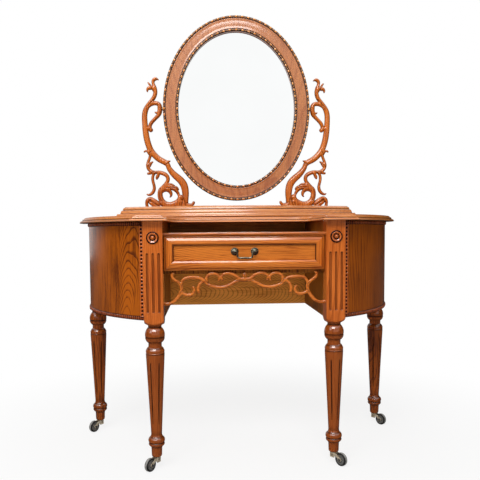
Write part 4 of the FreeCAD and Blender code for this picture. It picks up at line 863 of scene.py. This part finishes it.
def handlePost(place):
    # a rosette with petals, and the bolt behind it; painted shade between the petals and in a ring
    look = handleLook
    verts, faces = lathe(look["plate"], place, (0, -1, 0), look["count"])
    shade = []
    for k, (along, radius) in enumerate(look["plate"]):
        rim = 1.0 if 5 < radius and along < 4.5 else 0.0
        for n in range(look["count"]):
            petal = 0.5 + 0.5 * math.cos(look["petals"] * 2 * math.pi * n / look["count"])
            verts[k * look["count"] + n].y -= rim * (petal - 0.5) * look["petalDepth"] * mm
            shade.append(rim * (1 - petal) * 0.55 + (0.5 if 8.2 < radius < 9.9 else 0.0))
    bolt = lathe(look["bolt"], place, (0, -1, 0), 16)
    return [(verts, faces, shade), (*bolt, [0.0] * len(bolt[0]))]


parts = []
for sign in (-1, 1):
    parts += handlePost((sign * handleLook["spacing"] / 2 * mm, panelFaceY, handleZ))
makePiece("handlePosts", joinMeshes(parts), "drawer", bronze, ["handle_posts"],
          sharpAngle=50)

bailLook = {"arm": 22.5, "drop": 19.5, "corner": 8.0, "elbow": 2.6, "end": 31.0, "diagonal": 0.293,
            "radius": 2.1, "belly": 0.4, "ring": 0.6, "ringAt": 11.5, "lowerArm": 0.55, "count": 16}


def bailPath():
    # the bail's middle line as (x, z), from its end in the right post to its end in the left one
    look = bailLook
    arm, elbow, corner, low = look["arm"], look["elbow"], look["corner"], -look["drop"]
    half = [(look["end"], 0.0), (arm + elbow + 1.5, 0.0)]
    elbowIn, cornerIn = elbow * look["diagonal"], corner * look["diagonal"]     # middles of the two bends
    half += arcPoints((arm + elbow, 0), (arm + elbowIn, -elbowIn), (arm, -elbow), 6)
    half += [(arm - 0.3, -6.0), (arm - 0.2, -9.0)]
    half += arcPoints((arm, low + corner), (arm - cornerIn, low + cornerIn), (arm - corner, low), 8)
    half += [(10.0, low), (6.0, low), (3.0, low)]
    return half + [(0.0, low)] + [(-a, b) for a, b in reversed(half)]


def bailRadius(px, pz):
    # a belly and two rings on the grip, and thicker arms below the elbows
    look = bailLook
    grip = 1.0 if pz < -15 else 0.0
    belly = look["belly"] * math.exp(-(px / 7.0) ** 2)
    ring = look["ring"] * math.exp(-((abs(px) - look["ringAt"]) / 1.3) ** 2)
    return look["radius"] + grip * (belly + ring) + look["lowerArm"] * float(smoothStep(4, 9, -pz))


def sweep(path):
    rings = []
    outward = Vector((0, 1, 0))
    for n, (px, pz) in enumerate(path):
        before, after = path[max(0, n - 1)], path[min(len(path) - 1, n + 1)]
        side = outward.cross(Vector((after[0] - before[0], 0, after[1] - before[1])).normalized())
        ring = []
        for k in range(bailLook["count"]):
            turn = 2 * math.pi * k / bailLook["count"]
            ring.append(Vector((px * mm, handleY, handleZ + pz * mm))
                        + (outward * math.cos(turn) + side * math.sin(turn)) * bailRadius(px, pz) * mm)
        rings.append(ring)
    return *loft(rings), None


makePiece("handleBail", sweep(bailPath()), "bail", bronze, ["handle_bail"], sharpAngle=60)
print("drawer made")


def flatOutline(node):
    # the edges round the flat front of a CAD node, as two arrays of (x, z) in mm
    mesh = frame["nodes"][node].data
    frontY = min(v.co.y for v in mesh.vertices)
    counts = {}
    for face in mesh.polygons:
        points = [mesh.vertices[n].co for n in face.vertices]
        if max(abs(p.y - frontY) for p in points) > 1e-5:
            continue
        keys = [(round(p.x / mm, 3), round(p.z / mm, 3)) for p in points]
        for a, b in zip(keys, keys[1:] + keys[:1]):
            key = (a, b) if a < b else (b, a)
            counts[key] = counts.get(key, 0) + 1
    rim = [key for key, count in counts.items() if count == 1]
    return np.array([a for a, b in rim]), np.array([b for a, b in rim])


def distanceTo(points, starts, ends):
    best = np.full(len(points), 1e9)
    for a, b in zip(starts, ends):
        along = b - a
        length = max(float(along @ along), 1e-12)
        t = np.clip(((points - a) @ along) / length, 0, 1)
        gap = points - (a + t[:, None] * along)
        best = np.minimum(best, (gap * gap).sum(1))
    return np.sqrt(best)


def insideOf(points, starts, ends):
    inside = np.zeros(len(points), bool)
    x, z = points[:, 0], points[:, 1]
    for a, b in zip(starts, ends):
        if a[1] == b[1]:
            continue
        crossing = (a[1] > z) != (b[1] > z)
        at = a[0] + (z - a[1]) / (b[1] - a[1]) * (b[0] - a[0])
        inside ^= crossing & (x < at)
    return inside


def cellsInside(xs, zs, signed):
    # the squares of a grid, clipped where signed, the distance in from the outline, drops below 0
    flat, cells, known = [], [], {}

    def corner(i, j):
        if (i, j) not in known:
            known[(i, j)] = len(flat)
            flat.append((xs[i], zs[j]))
        return known[(i, j)]

    def crossing(i, j, k, l):
        key = (min((i, j), (k, l)), max((i, j), (k, l)))
        if key not in known:
            a, b = signed[i, j], signed[k, l]
            t = a / (a - b)
            known[key] = len(flat)
            flat.append((xs[i] + (xs[k] - xs[i]) * t, zs[j] + (zs[l] - zs[j]) * t))
        return known[key]

    solid = signed > 0
    some = solid[:-1, :-1] | solid[1:, :-1] | solid[1:, 1:] | solid[:-1, 1:]
    for i, j in np.argwhere(some):
        square = [(i, j), (i + 1, j), (i + 1, j + 1), (i, j + 1)]
        cell = []
        for here, there in zip(square, square[1:] + square[:1]):
            if solid[here]:
                cell.append(corner(*here))
            if solid[here] != solid[there]:
                cell.append(crossing(*here, *there))
        if len(cell) > 2:
            cells.append(cell)
    return np.array(flat), cells


def sidesOf(cells):
    return [pair for cell in cells for pair in zip(cell, cell[1:] + cell[:1])]


def smoothed(rise, cells, fixed, times):
    # each free point's height moves towards the mean of its neighbours
    pairs = np.array(sorted({tuple(sorted(pair)) for pair in sidesOf(cells)}))
    for _ in range(times):
        total, count = np.zeros(len(rise)), np.zeros(len(rise))
        for here, there in (pairs.T, pairs.T[::-1]):
            np.add.at(total, here, rise[there])
            np.add.at(count, here, 1)
        rise = np.where(fixed, rise, 0.4 * rise + 0.6 * total / np.maximum(count, 1))
    return rise


def outlineField(node, look):
    # a grid over the scroll: its lines, and how far each of its points lies inside the outline
    starts, ends = flatOutline(node)
    step = look["grid"]
    lowX, lowZ = np.minimum(starts.min(0), ends.min(0)) - 1.5 * step
    highX, highZ = np.maximum(starts.max(0), ends.max(0)) + 1.5 * step
    xs, zs = np.arange(lowX, highX + step, step), np.arange(lowZ, highZ + step, step)
    gridX, gridZ = np.meshgrid(xs, zs, indexing="ij")
    points = np.stack([gridX.ravel(), gridZ.ravel()], 1)
    signed = distanceTo(points, starts, ends) * np.where(insideOf(points, starts, ends), 1, -1)
    signed = np.where(np.abs(signed) < 0.02, 0.02, signed).reshape(gridX.shape)
    return starts, ends, xs, zs, signed


def carvedBoard(node, look):
    # rounds a flat scroll over towards its outline, with painted shade along the outline, then cuts veins
    # into both faces, with painted shade in the veins
    starts, ends, xs, zs, signed = outlineField(node, look)
    flat, cells = cellsInside(xs, zs, signed)
    rounding = np.ones(len(starts), bool)
    for test in look["flatEnds"]:
        rounding &= ~np.array([test(a) and test(b) for a, b in zip(starts, ends)])
    edgeGap = distanceTo(flat, starts[rounding], ends[rounding])
    fixed = distanceTo(flat, starts, ends) < 0.15
    edgeGap = np.where(fixed & (edgeGap < 0.6), 0.0, edgeGap)
    rise = np.sqrt(np.maximum(0, 1 - (1 - np.minimum(edgeGap / look["round"], 1)) ** 2))
    low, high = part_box(node)
    thick = (high.y - low.y) / 2 / mm * smoothed(rise, cells, fixed, look["soften"])
    shade = 0.55 * (1 - smoothStep(0.0, look["edgeDark"], edgeGap))
    for line, depth, width in look["veins"]:
        line = np.array(line, float)
        gap = distanceTo(flat, line[:-1], line[1:])
        if look["mirrorVeins"]:
            turned = line * np.array([-1, 1])
            gap = np.minimum(gap, distanceTo(flat, turned[:-1], turned[1:]))
        cut = np.exp(-(gap / width) ** 2)
        thick = np.where(fixed, thick, np.maximum(thick - depth * cut, 0.25 * thick))
        shade = np.maximum(shade, 0.75 * cut)
    middleY = (low.y + high.y) / 2
    verts = [(x * mm, middleY + side * t * mm, z * mm)
             for side in (-1, 1) for (x, z), t in zip(flat, thick)]
    count = len(flat)
    faces = [tuple(cell) for cell in cells] + [tuple(count + n for n in reversed(cell)) for cell in cells]
    sides = dict.fromkeys(sidesOf(cells))
    faces += [(b, a, count + a, count + b) for a, b in sides
              if (b, a) not in sides and max(thick[a], thick[b]) > 0.05]
    return verts, faces, np.concatenate([shade, shade])


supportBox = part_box("mirror_support_right")
plinthTop = supportBox[0].z / mm
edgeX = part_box("mirror_glass")[1].x / mm + 49          # outer edge of the mirror

# veins are (line, depth, width): here out from the mirror's edge and up from the plinth
supportVeins = [([(-16, 77), (-28, 78), (-39, 74)], 2.6, 1.3),
                ([(-9, 68), (-29, 69), (-45, 66), (-51, 60)], 2.6, 1.4),
                ([(-22, 63), (-38, 59), (-46, 48)], 2.4, 1.3),
                ([(6, 55), (-4, 60), (-14, 59), (-20, 52)], 1.6, 1.4),
                ([(-65, 44), (-68, 31), (-64, 14), (-60, 3)], 3.2, 1.8),
                ([(-72, 28), (-74, 16), (-76, 3)], 2.4, 1.4),
                ([(-55, 14), (-53, 3)], 2.2, 1.5),
                ([(44, 431), (40, 421), (35, 411)], 2.4, 1.4),
                ([(51, 356), (44, 365), (36, 374), (27, 381)], 2.8, 1.7),
                ([(15, 372), (4, 362), (3, 345), (9, 330)], 0.8, 1.2),
                ([(58, 141), (53, 147), (47, 152)], 2.0, 1.3),
                ([(35, 114), (30, 120), (22, 125)], 2.2, 1.4),
                ([(45, 121), (38, 124), (31, 127)], 2.2, 1.4),
                ([(57, 4), (57, 17), (52, 22), (39, 15.5), (21, 4)], 3.6, 1.8),
                ([(25, 30), (20, 17), (7, 3)], 3.0, 1.6),
                ([(13, 66), (18, 50), (16, 34), (9, 20)], 1.4, 1.3),
                ([(-6, 150), (-14, 154), (-23, 160)], 2.2, 1.5),
                ([(-80, 14), (-90, 11), (-99, 13)], 2.0, 1.4),
                ([(45, 196), (50, 187), (52, 176)], 2.0, 1.4)]
supportLook = {"grid": 1.15, "round": 9.5, "soften": 5, "edgeDark": 2.6, "mirrorVeins": False,
               "flatEnds": [lambda p: abs(p[1] - plinthTop) < 0.05],
               "veins": [([(edgeX + out, plinthTop + rise) for out, rise in line], depth, width)
                         for line, depth, width in supportVeins]}
support = carvedBoard("mirror_support_right", supportLook)
for side, mesh in (("right", support), ("left", mirrored(support))):
    makePiece("mirrorSupport_" + side, mesh, "table", wood["oakCarved"],
              ["mirror_support_" + side], sharpAngle=80, merge=0.00002)
print("supports carved")

# here the veins go out from the middle and down from under the drawer
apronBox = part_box("scroll_apron")
drawerLow = drawerBox[0].z / mm - 2
apronVeins = [([(124, 20), (116, 30), (108, 40)], 1.4, 1.2), ([(196, 70), (191, 60), (184, 56)], 1.4, 1.2),
              ([(196, 36), (190, 42), (190, 50)], 1.2, 1.1), ([(26, 30), (14, 27), (5, 28)], 1.2, 1.1),
              ([(0, 4), (0, 22)], 1.4, 1.3)]
apronLook = {"grid": 1.15, "round": 4.6, "soften": 3, "edgeDark": 1.6, "mirrorVeins": True,
             "flatEnds": [lambda p: abs(abs(p[0]) - apronBox[1].x / mm) < 0.05],
             "veins": [([(out, drawerLow - down) for out, down in line], depth, width)
                       for line, depth, width in apronVeins]}
makePiece("scrollApron", carvedBoard("scroll_apron", apronLook), "table", wood["oakApron"],
          ["scroll_apron"], sharpAngle=80, merge=0.00002)
print("apron carved")


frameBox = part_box("mirror_frame")
mirrorZ = (frameBox[0].z + frameBox[1].z) / 2
halfTall = (frameBox[1].z - frameBox[0].z) / 2
halfWide = edgeX * mm
frameFront = frameBox[0].y
# the section runs round the frame as (in from the outer edge, back from the face)
# dark is painted shade in the quirks and under the bead rings, on the front faces only
frameLook = {"steps": 240, "darkBefore": 6.0,
             "section": [(0.3, 21.4), (0.3, 3.0), (0.6, 1.2), (1.4, 0.4), (2.2, 0.2), (8.4, 0.2), (9.0, 0.5),
                         (9.6, 0.9), (10.4, 0.3), (11.6, 0.0), (13.0, 0.5), (20, 0.3), (28, 0.2), (36, 0.3),
                         (42.2, 0.6), (43.6, 0.1), (44.8, 0.3), (45.6, 0.9), (46.3, 0.6), (47.2, 0.3),
                         (53.0, 0.3), (54.2, 1.0), (54.8, 2.2), (55.0, 4.0), (55.0, 12.0), (48.0, 12.0),
                         (48.0, 22.0), (1.0, 22.0)],
             "dark": [(9.6, 0.9, 0.75), (45.6, 0.9, 0.75), (4.5, 5.0, 1.0), (50.5, 5.0, 1.0)]}


def ovalRing(inset, y, steps):
    wide, tall = halfWide - inset * mm, halfTall - inset * mm
    turns = [2 * math.pi * n / steps for n in range(steps)]
    return [(wide * math.sin(turn), y, mirrorZ + tall * math.cos(turn)) for turn in turns]


rings, shade = [], []
for inset, down in frameLook["section"]:
    rings.append(ovalRing(inset, frameFront + down * mm, frameLook["steps"]))
    dark = float(darkLines(inset, frameLook["dark"], 0.0, 0.8))
    shade += [dark if down < frameLook["darkBefore"] else 0.0] * frameLook["steps"]
makePiece("mirrorFrame", (*loft(rings, wrap=True), shade), "mirror", wood["oakMirror"],
          ["mirror_frame"], sharpAngle=40)

# each ring: inset of its middle line, number of beads, half sizes of a bead and of a reel
ringLook = {"outer": (4.4, 84, (3.3, 5.6, 4.0), (2.4, 1.2, 2.6)),
            "inner": (50.4, 68, (3.2, 5.5, 4.0), (2.3, 1.2, 2.6)), "reelApart": 0.17}


def beadRing(inset, count, beadSizes, reelSizes):
    # beads at even spacing round an oval, each followed by two thin reels
    fine = np.linspace(0, 2 * math.pi, 4001)
    a, b = halfWide - inset * mm, halfTall - inset * mm
    px, pz = a * np.sin(fine), b * np.cos(fine)
    length = np.concatenate([[0], np.cumsum(np.hypot(np.diff(px), np.diff(pz)))])
    pitch = length[-1] / count
    outward = Vector((0, -1, 0))
    row = [(0.0, beadSizes, (12, 8)), (0.5 - ringLook["reelApart"] / 2, reelSizes, (10, 6)),
           (0.5 + ringLook["reelApart"] / 2, reelSizes, (10, 6))]
    parts = []
    for n in range(count):
        for offset, sizes, detail in row:
            turn = float(np.interp((n + offset) * pitch, length, fine))
            along = Vector((a * math.cos(turn), 0, -b * math.sin(turn))).normalized()
            place = (a * math.sin(turn), frameFront, mirrorZ + b * math.cos(turn))
            parts.append(bead(place, sizes, (along.cross(outward), along, outward), detail))
    return joinMeshes(parts)


for name in ("outer", "inner"):
    makePiece(name + "BeadRing", beadRing(*ringLook[name]), "mirror", wood["oakBead"],
              ["mirror_" + name + "_beads"], sharpAngle=70)
print("mirror made")


casters = ("front_left", "front_right", "back_left", "back_right")
# painted sheen: the middle of the tread is paler than the tyre's sides, standing in for its reflection, and
# the hub a little paler
wheelLook = {"tyre": [(-5.6, 2.6), (-5.6, 6.2), (-4.9, 6.9), (-4.9, 14.2), (-5.5, 15.2), (-6.0, 16.0),
                      (-6.0, 17.6), (-5.2, 19.3), (-3.6, 19.95), (-2.2, 20.0), (-1.9, 19.55),
                      (1.9, 19.55), (2.2, 20.0), (3.6, 19.95), (5.2, 19.3), (6.0, 17.6),
                      (6.0, 16.0), (5.5, 15.2), (4.9, 14.2), (4.9, 6.9), (5.6, 6.2), (5.6, 2.6)],
             "count": 64, "treadPaintedSheen": 1.0, "hubShade": 0.35}
# oblongs on the outer faces of the fork's cheeks, from (growth, out from the cheek) pairs
embossLook = {"face": 9.0, "along": 1.0, "height": 29.2, "halfLength": 6.0, "halfHeight": 5.2,
              "steps": [(0.0, -0.2), (0.0, 0.35), (-0.9, 0.8), (-1.8, 0.8), (-2.3, 0.35)]}


def casterWheel(centre, axis):
    look = wheelLook
    shade = []
    for along, radius in look["tyre"]:
        # painted sheen on the middle of the tread
        tread = look["treadPaintedSheen"] if radius > 19.2 and abs(along) < 3.0 else 0.0
        shade += [look["hubShade"] if radius < 15 else tread] * look["count"]
    return *lathe(look["tyre"], centre, axis, look["count"], wrap=True), shade


def casterEmboss(stem, axis, trail):
    look = embossLook
    parts = []
    for sign in (-1, 1):
        rings = []
        for grow, out in look["steps"]:
            ring = []
            for dx, dz in ((-1, -1), (1, -1), (1, 1), (-1, 1)):
                ring.append(stem + trail * (look["along"] + dx * (look["halfLength"] + grow)) * mm
                            + axis * sign * (look["face"] + out) * mm
                            + up * (look["height"] + dz * (look["halfHeight"] + grow)) * mm)
            rings.append(ring)
        # painted shade in each oblong's sunk middle
        parts.append((*loft(rings), [0.0] * 4 + [0.1] * 12 + [0.5] * 4))
    return joinMeshes(parts)


for name in casters:
    roll, swivel = joints["roll_" + name], joints["swivel_" + name]
    centre, axis = Vector(roll["pos_m"]), Vector(roll["axis"]).normalized()
    stem = Vector((swivel["pos_m"][0], swivel["pos_m"][1], 0))
    trail = Vector((centre.x - stem.x, centre.y - stem.y, 0)).normalized()
    makePiece("casterWheel_" + name, casterWheel(centre, axis), "wheel_" + name, rubber,
              ["caster_wheel_" + name], sharpAngle=35)
    makePiece("casterEmboss_" + name, casterEmboss(stem, axis, trail), "caster_" + name, nickel,
              sharpAngle=25)
print("casters made")


# the nodes that keep their CAD shape: their material, and the rounding of their edges in mm
finishes = {
    "kneehole_back": (wood["oakBack"], 1.0), "kneehole_side_left": (wood["oakKnee"], 1.0),
    "kneehole_side_right": (wood["oakKnee"], 1.0), "drawer_front": (wood["oakDrawer"], 0.6),
    "cabinet_backs": (wood["oakPlain"], 0.8), "cabinet_bottoms": (wood["oakPlain"], 0),
    "back_leg_blocks": (wood["oakPlain"], 0), "top_cleats": (wood["oakRunner"], 0),
    "drawer_rail": (wood["oakKnee"], 0), "drawer_runners": (wood["oakRunner"], 0),
    "drawer_kickers": (wood["oakRunner"], 0), "centre_board": (wood["oakSunk"], 0.8),
    "support_dowels": (wood["oakCarved"], 0), "drawer_sides": (wood["oakRunner"], 1.0),
    "drawer_back": (wood["oakPlain"], 1.0), "drawer_bottom": (ply, 0), "mirror_backboard": (ply, 0),
    "mirror_glass": (mirrorFace, 0), "top_screws": (steel, 0), "hanger_bolts": (steel, 0),
    "handle_nuts": (steel, 0), "tilt_bolts": (steel, 0), "tilt_bushes": (brass, 0),
    "mirror_turn_buttons": (brass, 0.4), "caster_sockets": (nickel, 0)}
for name in casters:
    finishes["caster_fork_" + name] = (nickel, 0.5)
    finishes["caster_axle_" + name] = (steel, 0)
for node, (material, rounding) in finishes.items():
    holder = frame["nodes"][node]
    holder.data.materials.clear()
    holder.data.materials.append(material)
    if rounding:
        bevel = holder.modifiers.new("edges", "BEVEL")
        bevel.width, bevel.segments, bevel.angle_limit = rounding * mm, 2, math.radians(50)
        bevel.limit_method = "ANGLE"
        bevel.harden_normals = True
print("finishes set")


white = (1, 1, 1, 1)
floorLook = {"half": 14.0, "below": 0.3, "colour": (0.86, 0.86, 0.85, 1), "gloss": 0.05, "near": 0.82}
worldLook = {"light": 0.26, "seen": 1.0, "leftGloss": 0.7, "ceilingGloss": 2.0, "frontGloss": 0.5,
             "darkGloss": 0.008}


def roomFloor():
    # pale to the camera and in the mirror's glass, plain to the light, dull in the varnish
    r = Recipe(bpy.data.materials.new("paleFloor"))
    x, y, _ = r.axes()
    far = r.step((x * x + y * y) ** 0.5, 0.5, 1.5)
    plain = r.node("ShaderNodeBsdfPrincipled", None, {"Base Color": floorLook["colour"], "Roughness": 0.8})
    dull = r.node("ShaderNodeEmission", None, {"Color": white, "Strength": floorLook["gloss"]})
    glow = r.node("ShaderNodeEmission", None, {"Color": white, "Strength": 1.0})
    unlit = r.node("ShaderNodeMixShader", None, {0: r.ray("Glossy"), 1: plain, 2: dull})
    seen = r.calc("MAXIMUM", r.ray("Camera"), r.ray("Singular"))
    share = seen * (far * (1 - floorLook["near"]) + floorLook["near"])
    r.close(r.node("ShaderNodeMixShader", None, {0: share, 1: unlit, 2: glow}))
    return r.owner


floorMesh = bpy.data.meshes.new("floor")
corners = [(sx * floorLook["half"], sy * floorLook["half"], -floorLook["below"] * mm)
           for sx, sy in ((-1, -1), (1, -1), (1, 1), (-1, 1))]
floorMesh.from_pydata(corners, [], [(0, 1, 2, 3)])
floorMesh.materials.append(roomFloor())
floor = bpy.data.objects.new("floor", floorMesh)
bpy.context.scene.collection.objects.link(floor)


def room(world):
    # white to the camera and in the mirror's glass; the varnish sees a window, a ceiling and a front wall
    r = Recipe(world)
    dx, dy, dz = r.axes("Generated")
    camera, glossy = r.ray("Camera"), r.ray("Glossy")
    window = r.step(dx * -1.0, -0.1, 0.5) * r.step(dy, 0.3, 0.85)
    ceiling = r.step(dz, 0.45, 0.85)
    front = r.step(dy * -1.0, 0.8, 0.92) * r.step(dz, 0.0, 0.06)
    gloss = window * worldLook["leftGloss"] + ceiling * worldLook["ceilingGloss"] + worldLook["darkGloss"]
    gloss = gloss * (1 - front) + front * worldLook["frontGloss"]
    lighting = glossy * gloss + (1 - glossy) * worldLook["light"]
    strength = camera * worldLook["seen"] + (1 - camera) * lighting
    for kind in ("Transmission", "Singular"):
        strength = r.calc("MAXIMUM", strength, r.ray(kind))
    r.close(r.node("ShaderNodeBackground", None, {"Color": white, "Strength": strength}),
            "ShaderNodeOutputWorld")


bpy.context.scene.world = bpy.data.worlds.new("studio")
room(bpy.context.scene.world)

# each lamp: place, what it looks at, width, height, watts
lampLook = {"key": ((-0.6, -2.3, 2.9), (0, 0, 0.6), 2.2, 1.1, 86.0),
            "left": ((-2.4, -1.8, 2.0), (0, 0, 0.7), 1.4, 1.4, 16.0),
            "fill": ((2.2, -2.6, 1.5), (0, 0, 0.6), 1.8, 1.8, 5.0),
            "top": ((0.0, 0.2, 3.2), (0, 0, 0.7), 1.8, 1.8, 10.0)}
for name, (place, aim, width, height, power) in lampLook.items():
    lamp = bpy.data.lights.new(name, "AREA")
    lamp.shape, lamp.size, lamp.size_y, lamp.energy = "RECTANGLE", width, height, power
    holder = bpy.data.objects.new(name, lamp)
    holder.location = place
    holder.rotation_euler = (Vector(aim) - Vector(place)).to_track_quat("-Z", "Y").to_euler()
    bpy.context.scene.collection.objects.link(holder)

cameraLook = {"place": (-0.1167, -1.9818, 0.71345), "yaw": 3.26, "pitch": -3.89, "roll": -0.43,
              "sensor": 36, "lens": 45.08, "shift": 0.0693, "near": 0.05, "far": 60}
yaw, pitch, roll = (math.radians(cameraLook[k]) for k in ("yaw", "pitch", "roll"))
forward = Vector((math.sin(yaw) * math.cos(pitch), math.cos(yaw) * math.cos(pitch), math.sin(pitch)))
level = Vector((math.cos(yaw), -math.sin(yaw), 0))
upward = level.cross(forward)
right = level * math.cos(roll) + upward * math.sin(roll)
over = upward * math.cos(roll) - level * math.sin(roll)
camera = bpy.data.objects.new("camera", bpy.data.cameras.new("camera"))
camera.matrix_world = Matrix(((right.x, over.x, -forward.x, cameraLook["place"][0]),
                              (right.y, over.y, -forward.y, cameraLook["place"][1]),
                              (right.z, over.z, -forward.z, cameraLook["place"][2]), (0, 0, 0, 1)))
camera.data.sensor_width, camera.data.lens = cameraLook["sensor"], cameraLook["lens"]
camera.data.shift_y = cameraLook["shift"]
camera.data.clip_start, camera.data.clip_end = cameraLook["near"], cameraLook["far"]
bpy.context.scene.collection.objects.link(camera)
bpy.context.scene.camera = camera
bpy.context.scene.view_settings.view_transform = "Standard"

bpy.context.view_layer.update()
print("room, lights and camera set")
